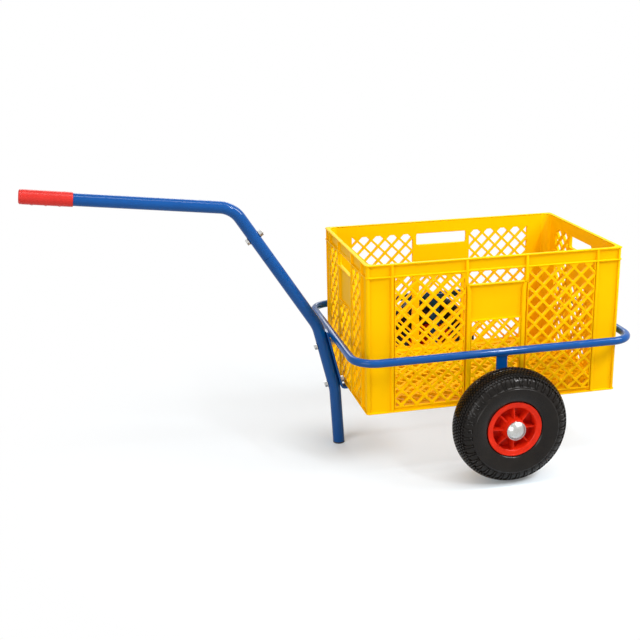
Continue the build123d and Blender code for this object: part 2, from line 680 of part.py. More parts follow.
def make_nodes():
    joint_bolt, joint_washers, joint_nut = joint_bolt_set()
    leg_bolts, leg_washers, leg_nuts = zip(*leg_bolt_sets())
    nodes = {
        "ring_tube": ring_tube(),
        "cross_strap": cross_strap(),
        "keel_strap_front": keel_strap_front(),
        "keel_strap_rear": keel_strap_rear(),
        "axle": axle(),
        "drawbar_lower": drawbar_lower(),
        "drawbar_upper": drawbar_upper(),
        "grip": grip(),
        "foot_plug": foot_plug(),
        "joint_bolt": joint_bolt,
        "joint_washers": joint_washers,
        "joint_nut": joint_nut,
        "leg_bolts": leg_bolts,
        "leg_washers": [washer for pair in leg_washers for washer in pair],
        "leg_nuts": leg_nuts,
        "crate": crate(),
    }
    for name, side in SIDES.items():
        nodes[f"axle_collar_{name}"] = axle_collar(side)
        nodes[f"hub_shims_{name}"] = hub_shims(side)
        nodes[f"hub_cap_{name}"] = hub_cap(side)
        nodes[f"rim_{name}"] = rim(side)
        nodes[f"tyre_{name}"] = tyre(side)
        nodes[f"bearing_sleeve_{name}"] = bearing_sleeve(side)
        nodes[f"roller_cage_{name}"] = roller_cage(side)
        nodes[f"rollers_{name}"] = rollers(side)
    return nodes


def as_shape(node):
    """One solid, or a group of separate solids."""
    return Compound(children=list(node)) if isinstance(node, (list, tuple)) else node


def main():
    os.makedirs("parts", exist_ok=True)
    shapes = {name: as_shape(node) for name, node in make_nodes().items()}
    boxes = [shape.bounding_box() for shape in shapes.values()]
    middle = (min(box.min.X for box in boxes) + max(box.max.X for box in boxes)) / 2
    for name, shape in shapes.items():
        export_step(Pos(-middle, 0, 0) * shape, f"parts/{name}.step")
    print(f"axle at X = {-middle:.3f}, Z = {AXLE_Z:.3f}; crate underside at Z = {CRATE_Z:.3f}")


main()
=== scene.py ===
import bmesh
import bpy
import math
from mathutils import Matrix, Vector


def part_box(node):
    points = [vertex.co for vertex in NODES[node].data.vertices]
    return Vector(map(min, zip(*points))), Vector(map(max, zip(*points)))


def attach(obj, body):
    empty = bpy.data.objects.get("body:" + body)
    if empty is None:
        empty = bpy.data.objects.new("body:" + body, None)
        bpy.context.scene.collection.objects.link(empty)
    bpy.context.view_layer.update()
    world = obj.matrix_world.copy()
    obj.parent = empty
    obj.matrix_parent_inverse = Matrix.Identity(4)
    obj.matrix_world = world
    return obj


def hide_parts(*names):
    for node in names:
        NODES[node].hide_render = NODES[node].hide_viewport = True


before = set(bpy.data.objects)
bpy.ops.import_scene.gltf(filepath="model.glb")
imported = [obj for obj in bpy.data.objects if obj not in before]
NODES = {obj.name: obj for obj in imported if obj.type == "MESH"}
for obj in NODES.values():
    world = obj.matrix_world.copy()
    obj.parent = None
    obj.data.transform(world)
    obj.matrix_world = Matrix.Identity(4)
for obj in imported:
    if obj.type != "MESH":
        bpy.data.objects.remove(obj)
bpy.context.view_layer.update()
SCENE = bpy.context.scene
MM = 0.001
SIDES = ("left", "right")
SIGNS = (-1, 1)
X_WAY, Y_WAY, Z_WAY = (1.0, 0.0, 0.0), (0.0, 1.0, 0.0), (0.0, 0.0, 1.0)


def middle(node):
    """The middle of a CAD node's box."""
    low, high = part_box(node)
    return (low + high) / 2


# Shaping; a surface shades smooth up to these angles between its faces, in degrees
SMOOTH, SMOOTH_BOLTS, SMOOTH_WHEELS = 32, 25, 40
SAME_POINT = 1e-6
HARD_EDGE = math.radians(35)
BEVEL_STEPS = 2
ALMOST_STRAIGHT = math.radians(170)
ROUNDING_ROOM = 0.48
ROUNDING_STEPS = 3
CORNER_STEPS = 8

# Ring, straps and welds; these and all other sizes are in metres
ring_low, ring_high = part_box("ring_tube")
RING_RADIUS = (ring_high.z - ring_low.z) / 2
RING_Z = (ring_high.z + ring_low.z) / 2
RING_FRONT = ring_low.x + RING_RADIUS
RING_REAR = ring_high.x - RING_RADIUS
RING_SIDE = ring_high.y - RING_RADIUS
RING_BEND = 52 * MM
TUBE_SIDES = 40
TUBE_BEND_STEPS = 14
STRAP_WIDTH = 25 * MM
STRAP_THICKNESS = 5 * MM
STRAP_BEND = 8 * MM
STRAP_EDGE = 0.9 * MM
STRAP_BEND_STEPS = 7
STRAP_EDGE_STEPS = 3
STRAP_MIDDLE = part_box("keel_strap_rear")[0].z + STRAP_THICKNESS / 2
STRAP_ABOVE_RING = 6 * MM
AXLE = middle("axle")
WELD_DROP = 1.7 * MM
WELD_DROP_STEPS = 2
WELD_STEP = 1.5 * MM
WELD_UNEVEN = (0.85, 1.12)
WELD_SEED = 7
RING_WELD_SUNK = 1 * MM
RING_WELD_APART = 4 * MM
AXLE_WELD_OUT = 4.5 * MM
AXLE_WELD_DROP = 0.5 * MM
AXLE_WELDS = (-170 * MM, -60 * MM, 60 * MM, 170 * MM)

# Drawbar, grip and foot plug; angles in degrees above +X
BAR_RADIUS = 14 * MM
LEG_ANGLE = 90 + 13.6
FOOT_ANGLE = 90 + 3
SLOPE_ANGLE = 180 - 57.4
HANDLE_ANGLE = 180 - 6.6
TOWARDS_FRONT = LEG_ANGLE + 90
FOOT_LEAN = math.tan(math.radians(FOOT_ANGLE - 90))
FOOT_BEND_DROP = 5 * MM
LEG_BEND_LIFT = 19.6 * MM
LEG_BEND_RADIUS = 90 * MM
LEG_END_REACH = BAR_RADIUS / 4
HANDLE_BEND_RADIUS = 60 * MM
HANDLE_LENGTH = 450 * MM
SEAM_ALONG = 206.5 * MM
SEAM_GAP = 0.9 * MM
SPIGOT_RADIUS = BAR_RADIUS - SEAM_GAP - 1 * MM
SPIGOT_ENDS = (-1 * MM, 2 * MM)
SPIGOT_TO_BEND = 110 * MM
JOINT_BOLT_ALONG = 55 * MM
LEG_BOLT_LIFT = 14.2 * MM
LEG_BOLT_DROP = 27 * MM
GRIP_LENGTH = 111.5 * MM
GRIP_END = 4 * MM
GRIP_RADIUS = 15.95 * MM
GRIP_SKIN = BAR_RADIUS + 1 * MM
GRIP_EDGE = 1 * MM
GRIP_EDGE_STEPS = 4
GRIP_STEP = 1.5 * MM
GRIP_SEGMENTS = 64
GRIP_RING_LENGTH = 5.5 * MM
GRIP_GROOVE_DEPTH = 0.9 * MM
GRIP_GROOVE_HALF = 1.1 * MM
GRIP_END_EDGE = 2.6 * MM
GRIP_BUMPS = (-28.5 * MM, 0.0, 28.5 * MM)
GRIP_BUMP_HEIGHT = 1.6 * MM
GRIP_BUMP_RADIUS = 4.6 * MM
GRIP_BUMP_STRETCH = 1.25
GRIP_BUMP_POWER = 1.5
PLUG_FLANGE = 4 * MM
PLUG_INSET = 0.5 * MM
PLUG_CHAMFER = 1 * MM
PLUG_EDGE = 0.6 * MM
PLUG_SEGMENTS = 48

# Bolts, M8
HEX_HALF = 13 * MM / 2
HEX_CHAMFER = 0.96 * HEX_HALF
HEX_CHAMFER_SLOPE = math.tan(math.radians(30))
HEX_SEGMENTS = 48
HEAD_HEIGHT = 5.3 * MM
NUT_HEIGHT = 6.5 * MM
BOLT_RADIUS = 4 * MM
THREAD_LENGTH = NUT_HEIGHT + 1.5 * MM
THREAD_PITCH = 1.25 * MM
THREAD_DEPTH = 0.5 * MM
THREAD_CREST = 0.2 * THREAD_PITCH
THREAD_ROOT = 0.6 * THREAD_PITCH
THREAD_POINT = (0.8 * MM, 0.9 * MM)
THREAD_SEGMENTS = 32
WASHER_RADIUS = 8 * MM
WASHER_THICKNESS = 1.6 * MM
WASHER_EDGE = 0.3 * MM
WASHER_SEGMENTS = 48

# Crate
crate_low, crate_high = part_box("crate")
CRATE_FOOT = Vector(((crate_low.x + crate_high.x) / 2, 0, crate_low.z))
CRATE_HALF = ((crate_high.x - crate_low.x) / 2, (crate_high.y - crate_low.y) / 2)
CRATE_HEIGHT = crate_high.z - crate_low.z
CRATE_CORNER = 8 * MM
CRATE_INNER_CORNER = 20 * MM
SOFT_EDGE = 0.8 * MM
WALL_INSIDE = 9 * MM
WALL = 3.5 * MM
WALL_FOOT = 0.5 * MM
WALL_HEAD = CRATE_HEIGHT - 1 * MM
INNER_HALF = [half - WALL_INSIDE for half in CRATE_HALF]
BASE_BAND = 13 * MM
RIM_BAND = 30 * MM
FLANGE = 3 * MM
FLANGE_DEPTH = WALL_INSIDE - WALL + 1 * MM
POST_WIDTH = 9 * MM
POST_SETBACK = 1.5 * MM
POST_EDGE = 0.5 * MM
POST_LAP = 1 * MM
CRATE_RIBS = ((70 * MM, 240 * MM), (64 * MM, 152 * MM))
RIB = 5.5 * MM
RIB_BACK = WALL - 1 * MM
RIB_FACE = WALL_INSIDE - 0.1 * MM
RIB_HEAD = CRATE_HEIGHT - 2 * MM
JOG = 5.5 * MM
JOG_FOOT = 0.4
JOG_DROP = 16 * MM
JOG_RISE = 22 * MM
JOG_STEPS = [3.2 * MM * step for step in range(-6, 3)]
JOG_HALVES = (4.4 * MM, 3 * MM)
PANEL_MARGIN = 5 * MM
PANEL_EDGE = 7 * MM
PANEL_CORNER = 0.4 * MM
LATTICE_PITCH = 36 * MM
LATTICE_STRIP = 5.6 * MM
LATTICE_CORNER = 1.4 * MM
LATTICE_FLARE = 0.075
LATTICE_DEPTH = 7.5 * MM
LATTICE_LIFT = 0.05 * MM
LATTICE_BORDER = 2 * MM
LATTICE_SPARE = 2
HAND_HOLE_TOP = CRATE_HEIGHT - RIM_BAND
HAND_HOLE_FOOT = HAND_HOLE_TOP - 30 * MM
HAND_HOLE_CORNER = 5 * MM
HAND_HOLE_FLARE = 0.02
HAND_HOLE_BEAD = 3 * MM
HAND_HOLE_BEAD_LIFT = 1.5 * MM
HAND_HOLE_BEAD_SIDES = 20
LABEL_HEIGHT = 85 * MM
LABEL_SIDE = 8 * MM
FLOOR_DEPTH = 8.5 * MM
FLOOR_LIFT = 0.4 * MM
FLOOR_LAP = 1 * MM
FLOOR_STRIP = 8 * MM
FLOOR_BORDER = 28 * MM
CUT_BEYOND = 1 * MM
CUT_MARGIN = 9 * MM
CUT_LIMIT_DEPTH = 100 * MM
CUT_RINGS = 4
CUT_FLARED_FROM = 0.3
CUT_CORNER_STEPS = 3

# Rims, as (radius, along the axle) where a value is a pair
RIM_RADIUS = 62.5 * MM
RIM_HALF = 32.5 * MM
RIM_BARREL = 53.5 * MM
RIM_INSIDE = 49.5 * MM
RIM_WEB = 3 * MM
RIM_EDGE = 0.9 * MM
RIM_SEGMENTS = 120
LIP_INSIDE = RIM_RADIUS - 3 * MM
LIP_STEPS = [
    (RIM_INSIDE, RIM_HALF - 3.4 * MM), (RIM_INSIDE + 1.8 * MM, RIM_HALF - 1.7 * MM),
    (LIP_INSIDE - 1 * MM, RIM_HALF - 0.8 * MM)]
BEAD_SEAT = [(RIM_RADIUS, RIM_HALF - 3.5 * MM), (RIM_BARREL, RIM_HALF - 10 * MM)]
HUB_BORE = 17.15 * MM
HUB_FACE = 22.5 * MM
HUB_ROOT = 27 * MM
HUB_HALF = 37.5 * MM
HUB_CHAMFER = (1 * MM, 2 * MM)
RIM_RIBS = 8
RIM_RIB_HALF = 1.6 * MM
RIM_RIB_FOOT = HUB_FACE - 2 * MM
RIM_RIB_HEAD = RIM_INSIDE + 1.5 * MM
RIM_RIB_EDGE = [
    (RIM_RIB_FOOT, 30 * MM), (RIM_RIB_FOOT + 5 * MM, 28.4 * MM),
    (RIM_RIB_HEAD - 8 * MM, 25 * MM), (RIM_RIB_HEAD, 24.6 * MM)]
CAP_RADIUS = 21.5 * MM
CAP_HEIGHT = 11.98 * MM
CAP_FLANGE = 1.6 * MM
CAP_FOOT = 1.5 * MM
CAP_CHAMFER = 0.5 * MM
CAP_STEP = 0.6 * MM
CAP_DOME_STEPS = 14
CAP_SEGMENTS = 72

# Tyres; shares of the tread run from the crown's middle to the shoulder's end
tyre_low, tyre_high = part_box("tyre_left")
TYRE_RADIUS = (tyre_high.z - tyre_low.z) / 2
TYRE_HALF = (tyre_high.y - tyre_low.y) / 2
TYRE_PITCHES = 36
TYRE_JOIN = 0.02 * MM
TYRE_BULGE = RIM_BARREL + 0.57 * (TYRE_RADIUS - RIM_BARREL)
TYRE_BOW = RIM_HALF + 0.72 * (TYRE_HALF - RIM_HALF)
TYRE_FLANK = 1.3 * MM
TYRE_SHOULDER = (TYRE_RADIUS - 12 * MM, TYRE_HALF - 8 * MM)
TYRE_LIP = RIM_RADIUS + 0.05 * MM
TYRE_MOUTH = (TYRE_LIP + 2.4 * MM, RIM_HALF + 0.2 * MM)
TYRE_GROOVE = [(TYRE_LIP + 1.7 * MM, RIM_HALF - 1.6 * MM), (TYRE_LIP, RIM_HALF - 3 * MM)]
CROWN_STEPS, FLANK_STEPS, WALL_STEPS = 24, 10, 12
BODY_STEPS, PITCH_STEPS = 30, 5
TREAD_DEPTH = 3.2 * MM
TREAD_ROOT = TREAD_DEPTH + 1 * MM
TREAD_END = 0.2 * MM
SHOULDER_FROM = 0.62
SHOULDER_RISE = 1 * MM
SHOULDER_RIB_SPAN = (0.6, 0.975)
SHOULDER_RIB_OUT = (5.4 * MM, 2.6 * MM)
SHOULDER_RIB_HALVES = (1.7 * MM, 1.36 * MM)
SHOULDER_RIB_HEIGHT = 0.4 * MM
SHOULDER_RIB_CHAMFER = 0.9 * MM
SHOULDER_RIB_DROP = 0.8 * SHOULDER_RIB_CHAMFER
CROWN_ROWS = 5
CROWN_SPAN = 0.59
CROWN_ROW_EDGES = (0.1, 0.9)
CROWN_BLOCKS = 3
CROWN_BLOCK_HALF = 0.38
CROWN_BLOCK_SKEW = 0.9 * MM
CROWN_BLOCK_CHAMFER = 0.5 * MM

# Skins: each noise is its detail and its roughness
GRAIN_NOISE = (3.0, 0.55)
MOTTLE_NOISE = (4.0, 0.6)
GLOSS_NOISE = (5.0, 0.65)
GLOSS_PATCH = 45 * MM
CLOUD_LOW, CLOUD_HIGH = 0.3, 0.7

# Camera, as fitted to the photograph; angles in radians, place from the crate's foot
CAMERA_SENSOR = 36.0
CAMERA_LENS = 60.47
CAMERA_SHIFT = -30 / 640
CAMERA_YAW, CAMERA_PITCH, CAMERA_ROLL = -0.238176, 0.304905, -0.0135078
CAMERA_PLACE = Vector((-0.8551, -2.3402, 0.9190))

# Ground and light; each lamp is its place, its target, its size and its power
GROUND_HALF = 14.0
GROUND_SEEN = (0.78, 0.88, 0.97)
GROUND_BOUNCE = (0.5, 0.46, 0.41)
GROUND_ROUGHNESS = 0.8
GROUND_SHINE = 0.1
GROUND_WHITE = 0.66
GROUND_FADE = (0.4, 1.0)
# Painted contact shadow: the floor's white glow drops to this share within this reach of the foot and
# the wheels' contact spots
CONTACT_SHADE_GLOW = 0.15
CONTACT_SHADE_REACH = 0.2
WORLD_FILL = 0.35
WARM_FILL = (1.0, 0.84, 0.66)
WHITE = (1.0, 1.0, 1.0)
LIT_SPOT = (0.2, 0, 0.3)
LAMPS = {
    "key": ((2.3, -0.9, 2.3), LIT_SPOT, (1.1, 1.1), 52),
    "front_strip": ((1.4, -1.9, 2.45), (1.4, 0, 0.3), (0.2, 0.9), 42),
    "left_fill": ((-1.9, -1.9, 0.9), LIT_SPOT, (1.6, 1.2), 32),
    "back_fill": ((0.4, 2.5, 1.8), LIT_SPOT, (2.0, 1.2), 30),
    "top_strip": ((0.2, -0.5, 2.3), LIT_SPOT, (2.6, 0.3), 22),
}


# Wiring of node trees
class Wiring:
    """Adds nodes to a tree and joins them up; a kind's name may leave out the tree's own family."""

    family = "ShaderNode"

    def __init__(self, tree):
        self.tree = tree

    def name_sockets(self, inputs, outputs):
        """Gives a node group its named inputs and outputs."""
        self.names = {}
        for side, kinds in (("INPUT", inputs), ("OUTPUT", outputs)):
            for label, kind in kinds.items():
                kind = f"NodeSocket{kind}"
                socket = self.tree.interface.new_socket(label, in_out=side, socket_type=kind)
                self.names[label] = socket.identifier
        self.given = self.tree.nodes.new("NodeGroupInput").outputs
        self.result = self.tree.nodes.new("NodeGroupOutput").inputs

    def feed(self, socket, value):
        if isinstance(value, bpy.types.NodeSocket):
            self.tree.links.new(value, socket)
        else:
            socket.default_value = value

    def add(self, kind, inputs=None, out=0, **settings):
        node = self.tree.nodes.new(kind if "Node" in kind else self.family + kind)
        for key, value in settings.items():
            setattr(node, key, value)
        for key, value in (inputs or {}).items():
            self.feed(node.inputs[key], value)
        return node.outputs[out]

    def math(self, operation, *values):
        return self.add("ShaderNodeMath", dict(enumerate(values)), operation=operation)

    def vector(self, x=0.0, y=0.0, z=0.0):
        return self.add("ShaderNodeCombineXYZ", {"X": x, "Y": y, "Z": z})

    def blend(self, share, first, second):
        """A colour that runs from the first to the second."""
        return self.add("ShaderNodeMix", {0: share, 6: first, 7: second}, out=2, data_type="RGBA")


class Plan(Wiring):
    """A Geometry Nodes tree with named sizes that ends as one mesh in one material."""

    family = "GeometryNode"

    def __init__(self, name, **kinds):
        super().__init__(bpy.data.node_groups.new(name, "GeometryNodeTree"))
        self.name_sockets({"Base": "Geometry", **kinds, "material": "Material"}, {"Result": "Geometry"})

    def outline(self, width, height):
        sides = {"Width": width, "Height": height}
        return self.add("CurvePrimitiveQuadrilateral", sides, mode="RECTANGLE")

    def softened(self, curve, count, radius):
        return self.add("FilletCurve", {"Curve": curve, "Count": count, "Radius": radius}, mode="POLY")

    def copies(self, points, item, **more):
        return self.add("InstanceOnPoints", {"Points": points, "Instance": item, **more})

    def finish(self, shape):
        solid = self.add("RealizeInstances", {"Geometry": shape})
        covered = {"Geometry": solid, "Material": self.given["material"]}
        self.feed(self.result["Result"], self.add("SetMaterial", covered))
        return self


def thing_of(name, data):
    """A new object in the scene."""
    thing = bpy.data.objects.new(name, data)
    SCENE.collection.objects.link(thing)
    return thing


def grow(plan, base, **sizes):
    """The plain mesh that a plan makes from a base mesh with these sizes."""
    maker = thing_of(plan.tree.name, base)
    modifier = maker.modifiers.new(plan.tree.name, "NODES")
    modifier.node_group = plan.tree
    for label, value in sizes.items():
        modifier[plan.names[label]] = value
    view = bpy.context.evaluated_depsgraph_get()
    mesh = bpy.data.meshes.new_from_object(maker.evaluated_get(view))
    maker.modifiers.remove(modifier)
    bpy.data.objects.remove(maker)
    return mesh


# Meshes and finished pieces
def mesh_of(name, points, faces=(), edges=()):
    mesh = bpy.data.meshes.new(name)
    mesh.from_pydata([tuple(point) for point in points], list(edges), list(faces))
    return mesh


def tidied(mesh, bevel=0.0, fill=False):
    """Merges doubles, fills an open side, turns the faces outwards and softens the hard edges."""
    work = bmesh.new()
    work.from_mesh(mesh)
    bmesh.ops.remove_doubles(work, verts=work.verts, dist=SAME_POINT)
    bmesh.ops.dissolve_degenerate(work, edges=work.edges, dist=SAME_POINT)
    if fill:
        bmesh.ops.holes_fill(work, edges=[edge for edge in work.edges if edge.is_boundary])
    bmesh.ops.recalc_face_normals(work, faces=work.faces)
    if bevel:
        hard = [edge for edge in work.edges if edge.calc_face_angle(0) > HARD_EDGE]
        bmesh.ops.bevel(
            work, geom=hard, offset=bevel, segments=BEVEL_STEPS, profile=0.5, affect="EDGES",
            clamp_overlap=True)
    work.to_mesh(mesh)
    work.free()
    return mesh


def joined(name, meshes):
    """One smooth mesh made of several, which are used up."""
    work = bmesh.new()
    for mesh in meshes:
        work.from_mesh(mesh)
        bpy.data.meshes.remove(mesh)
    for face in work.faces:
        face.material_index = 0
        face.smooth = True
    whole = bpy.data.meshes.new(name)
    work.to_mesh(whole)
    work.free()
    return whole


def moved(mesh, matrix):
    mesh.transform(matrix)
    return mesh


def shifted(mesh, way):
    return moved(mesh, Matrix.Translation(way))


def piece(name, meshes, body, finish, nodes=(), smooth=SMOOTH):
    """Joins meshes into one piece that rides on a body and stands for CAD nodes."""
    whole = joined(name, meshes)
    whole.set_sharp_from_angle(angle=math.radians(smooth))
    whole.materials.clear()
    whole.materials.append(finish)
    thing = thing_of(name, whole)
    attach(thing, body)
    if nodes:
        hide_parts(*nodes)


# Lines and outlines
def along(start, degrees, length):
    """The point this far from start, in the cart's upright middle plane, at an angle above +X."""
    angle = math.radians(degrees)
    return Vector(start) + Vector((math.cos(angle), 0, math.sin(angle))) * length


def at_height(start, degrees, height):
    return along(start, degrees, (height - start[2]) / math.sin(math.radians(degrees)))


def way_at(degrees):
    return along((0, 0, 0), degrees, 1)


def about_axle(radius, y, angle):
    """The point at a radius from the Y axis, turned by an angle from upright."""
    return (radius * math.sin(angle), y, radius * math.cos(angle))


def mirrored(half):
    return [(r, -y) for r, y in half]


def arc(start, through, end, steps):
    """Points on the round arc through three points of a plane, without its last one."""
    (ax, ay), (bx, by), (cx, cy) = start, through, end
    d = 2 * (ax * (by - cy) + bx * (cy - ay) + cx * (ay - by))
    a, b, c = ax * ax + ay * ay, bx * bx + by * by, cx * cx + cy * cy
    ux = (a * (by - cy) + b * (cy - ay) + c * (ay - by)) / d
    uy = (a * (cx - bx) + b * (ax - cx) + c * (bx - ax)) / d
    radius = math.hypot(ax - ux, ay - uy)
    first = math.atan2(ay - uy, ax - ux)
    turn = (math.atan2(cy - uy, cx - ux) - first + math.pi) % (2 * math.pi) - math.pi
    angles = [first + turn * step / steps for step in range(steps)]
    return [(ux + radius * math.cos(t), uy + radius * math.sin(t)) for t in angles]


def quarter_arc(x, y, radius, quarter):
    """Points on one quarter of a circle round x, y; quarter 0 starts on the +X side."""
    angles = [(quarter + step / CORNER_STEPS) * math.pi / 2 for step in range(CORNER_STEPS + 1)]
    return [(x + radius * math.cos(t), y + radius * math.sin(t)) for t in angles]


def rectangle(half_x, half_y, radius):
    """A closed outline with round corners."""
    x, y = half_x - radius, half_y - radius
    corners = ((x, y), (-x, y), (-x, -y), (x, -y))
    return [point for quarter, at in enumerate(corners) for point in quarter_arc(*at, radius, quarter)]


def rounded(points, radius, steps=ROUNDING_STEPS):
    """A closed outline with its corners rounded off."""
    result = []
    for i, point in enumerate(points):
        here = Vector(point)
        before = Vector(points[i - 1]) - here
        after = Vector(points[(i + 1) % len(points)]) - here
        angle = before.angle(after)
        room = min(before.length, after.length) * ROUNDING_ROOM
        cut = min(radius / math.tan(angle / 2), room) if angle < ALMOST_STRAIGHT else 0
        if cut == 0:
            result.append(tuple(here))
            continue
        first, last = here + before.normalized() * cut, here + after.normalized() * cut
        for step in range(steps + 1):
            t = step / steps
            result.append(tuple((1 - t) ** 2 * first + 2 * t * (1 - t) * here + t * t * last))
    return result


def quads(loops, ring=True, closed=True):
    """Points, and the faces from each loop to the next; a ring also joins the last loop to the first."""
    count = len(loops[0])
    faces = []
    for s in range(len(loops) if ring else len(loops) - 1):
        here, onward = s * count, (s + 1) % len(loops) * count
        for i in range(count if closed else count - 1):
            j = (i + 1) % count
            faces.append((here + i, here + j, onward + j, onward + i))
    return [point for loop in loops for point in loop], faces


def lathe(name, outline, segments, swell=None):
    """An outline of (radius, along) turned round the Y axis."""
    loops = []
    for s in range(segments):
        angle = 2 * math.pi * s / segments
        loops.append([about_axle(r + swell(angle, y, r) if swell else r, y, angle) for r, y in outline])
    return tidied(mesh_of(name, *quads(loops)))


def prism(name, foot, head, bevel=0.0):
    """A solid between two loops of points."""
    count = len(foot)
    points, faces = quads([foot, head], ring=False)
    faces += [tuple(range(count))[::-1], tuple(range(count, 2 * count))]
    return tidied(mesh_of(name, points, faces), bevel)


def slab(name, outline, low, high, bevel):
    """An outline in the XY plane made into a slab with soft edges."""
    return prism(name, *[[(x, y, z) for x, y in outline] for z in (low, high)], bevel)


def block(name, low, high):
    """A box between two opposite corners."""
    xs, ys, zs = zip(low, high)
    points = [(x, y, z) for z in zs for y in ys for x in xs]
    faces = [(0, 2, 3, 1), (4, 5, 7, 6), (0, 1, 5, 4), (1, 3, 7, 5), (3, 2, 6, 7), (2, 0, 4, 6)]
    return mesh_of(name, points, faces)


def frame_slab(name, outer, inner, low, high):
    """A flat frame between two outlines with the same number of points."""
    edges = ((outer, low), (inner, low), (inner, high), (outer, high))
    return tidied(mesh_of(name, *quads([[(x, y, z) for x, y in line] for line, z in edges])), SOFT_EDGE)


def route(points, bends=None, closed=False):
    """A run of points with a bend radius at each, as the base of a bent bar."""
    count = len(points)
    edges = [(i, (i + 1) % count) for i in range(count if closed else count - 1)]
    mesh = mesh_of("route", points, edges=edges)
    bend = mesh.attributes.new("bend", "FLOAT", "POINT")
    bend.data.foreach_set("value", bends or [0.0] * count)
    return mesh


# Plans
def bent_plan(name, is_round):
    """A tube or a flat bar carried along a route, with round bends at the route's points."""
    sizes = dict.fromkeys(("width", "thickness", "edge"), "Float")
    plan = Plan(name, across="Vector", bend_steps="Int", sides="Int", **sizes)
    given = plan.given
    path = plan.add("MeshToCurve", {"Mesh": given["Base"]})
    bend = plan.add("InputNamedAttribute", {"Name": "bend"}, data_type="FLOAT")
    path = plan.softened(path, given["bend_steps"], bend)
    path = plan.add("SetCurveNormal", {"Curve": path, "Normal": given["across"]}, mode="FREE")
    if is_round:
        outline = {"Resolution": given["sides"], "Radius": plan.math("DIVIDE", given["width"], 2.0)}
        section = plan.add("CurvePrimitiveCircle", outline, mode="RADIUS")
    else:
        section = plan.outline(given["width"], given["thickness"])
        section = plan.softened(section, given["sides"], given["edge"])
    bar = {"Curve": path, "Profile Curve": section, "Fill Caps": True}
    return plan.finish(plan.add("CurveToMesh", bar))


def flared_cutter(plan):
    """The shape that is taken out of a plate for one opening, wider at both faces."""
    given = plan.given
    section = plan.outline(given["opening"], given["height"])
    turned = {"Geometry": section, "Rotation": plan.vector(z=given["turn"])}
    section = plan.softened(plan.add("Transform", turned), CUT_CORNER_STEPS, given["corner"])
    beyond = plan.math("ADD", given["depth"], CUT_BEYOND)
    line = {"Start": (0, 0, -CUT_BEYOND), "End": plan.vector(z=beyond)}
    line = plan.add("CurvePrimitiveLine", line)
    line = plan.add("ResampleCurve", {"Curve": line, "Count": CUT_RINGS}, mode="COUNT")
    way = plan.math("ABSOLUTE", plan.math("SUBTRACT", plan.add("SplineParameter"), 0.5))
    flared = plan.math("GREATER_THAN", way, CUT_FLARED_FROM)
    spread = plan.math("MULTIPLY_ADD", flared, given["flare"], 1.0)
    cutter = {"Curve": line, "Profile Curve": section, "Scale": spread, "Fill Caps": True}
    return plan.add("CurveToMesh", cutter)


def pierce_plan():
    """Staggered rows of flared openings cut through a plate, kept inside four limits."""
    sizes = (
        "opening", "height", "turn", "corner", "flare", "depth", "pitch", "first_x", "first_y",
        "left", "right", "bottom", "top")
    plan = Plan("pierced_plate", columns="Int", rows="Int", **dict.fromkeys(sizes, "Float"))
    given = plan.given
    index = plan.add("InputIndex")
    row = plan.math("FLOOR", plan.math("DIVIDE", index, given["columns"]))
    column = plan.math("SUBTRACT", index, plan.math("MULTIPLY", row, given["columns"]))
    shift = plan.math("MULTIPLY", plan.math("FLOORED_MODULO", row, 2.0), 0.5)
    x = plan.math("MULTIPLY_ADD", plan.math("ADD", column, shift), given["pitch"], given["first_x"])
    y = plan.math("MULTIPLY_ADD", plan.math("MULTIPLY", row, -0.5), given["pitch"], given["first_y"])
    count = plan.math("MULTIPLY", given["columns"], given["rows"])
    points = plan.add("Points", {"Count": count, "Position": plan.vector(x, y)})
    cutters = plan.add("RealizeInstances", {"Geometry": plan.copies(points, flared_cutter(plan))})
    spans, centres = [], []
    for low, high in (("left", "right"), ("bottom", "top")):
        spans.append(plan.math("SUBTRACT", given[high], given[low]))
        centres.append(plan.math("MULTIPLY", plan.math("ADD", given[high], given[low]), 0.5))
    limits = plan.add("MeshCube", {"Size": plan.vector(*spans, CUT_LIMIT_DEPTH)})
    set_off = {"Geometry": limits, "Translation": plan.vector(*centres)}
    limits = plan.add("Transform", set_off)
    inside = dict(operation="INTERSECT", solver="MANIFOLD")
    kept = plan.add("MeshBoolean", {"Mesh 2": cutters}, **inside)
    plan.tree.links.new(limits, kept.node.inputs["Mesh 2"])
    cut = {"Mesh 1": given["Base"], "Mesh 2": kept}
    return plan.finish(plan.add("MeshBoolean", cut, operation="DIFFERENCE", solver="MANIFOLD"))


def turned_plan():
    """Copies of the base set round the Y axis and joined where they meet."""
    plan = Plan("turned_round", copies="Int", joined="Float")
    step = plan.math("DIVIDE", 2 * math.pi, plan.given["copies"])
    angle = plan.math("MULTIPLY", plan.add("InputIndex"), step)
    points = plan.add("Points", {"Count": plan.given["copies"]})
    shape = plan.copies(points, plan.given["Base"], Rotation=plan.vector(y=angle))
    shape = plan.add("RealizeInstances", {"Geometry": shape})
    seams = {"Geometry": shape, "Distance": plan.given["joined"]}
    return plan.finish(plan.add("MergeByDistance", seams))


def placed_plan():
    """Copies of an item at the base's points, each turned the way its point says."""
    plan = Plan("set_in_place", item="Object")
    item = plan.add("ObjectInfo", {"Object": plan.given["item"]}, out="Geometry")
    way = plan.add("InputNamedAttribute", {"Name": "towards"}, data_type="FLOAT_VECTOR")
    turn = plan.add("FunctionNodeAlignRotationToVector", {"Vector": way}, axis="Z")
    return plan.finish(plan.copies(plan.given["Base"], item, Rotation=turn))


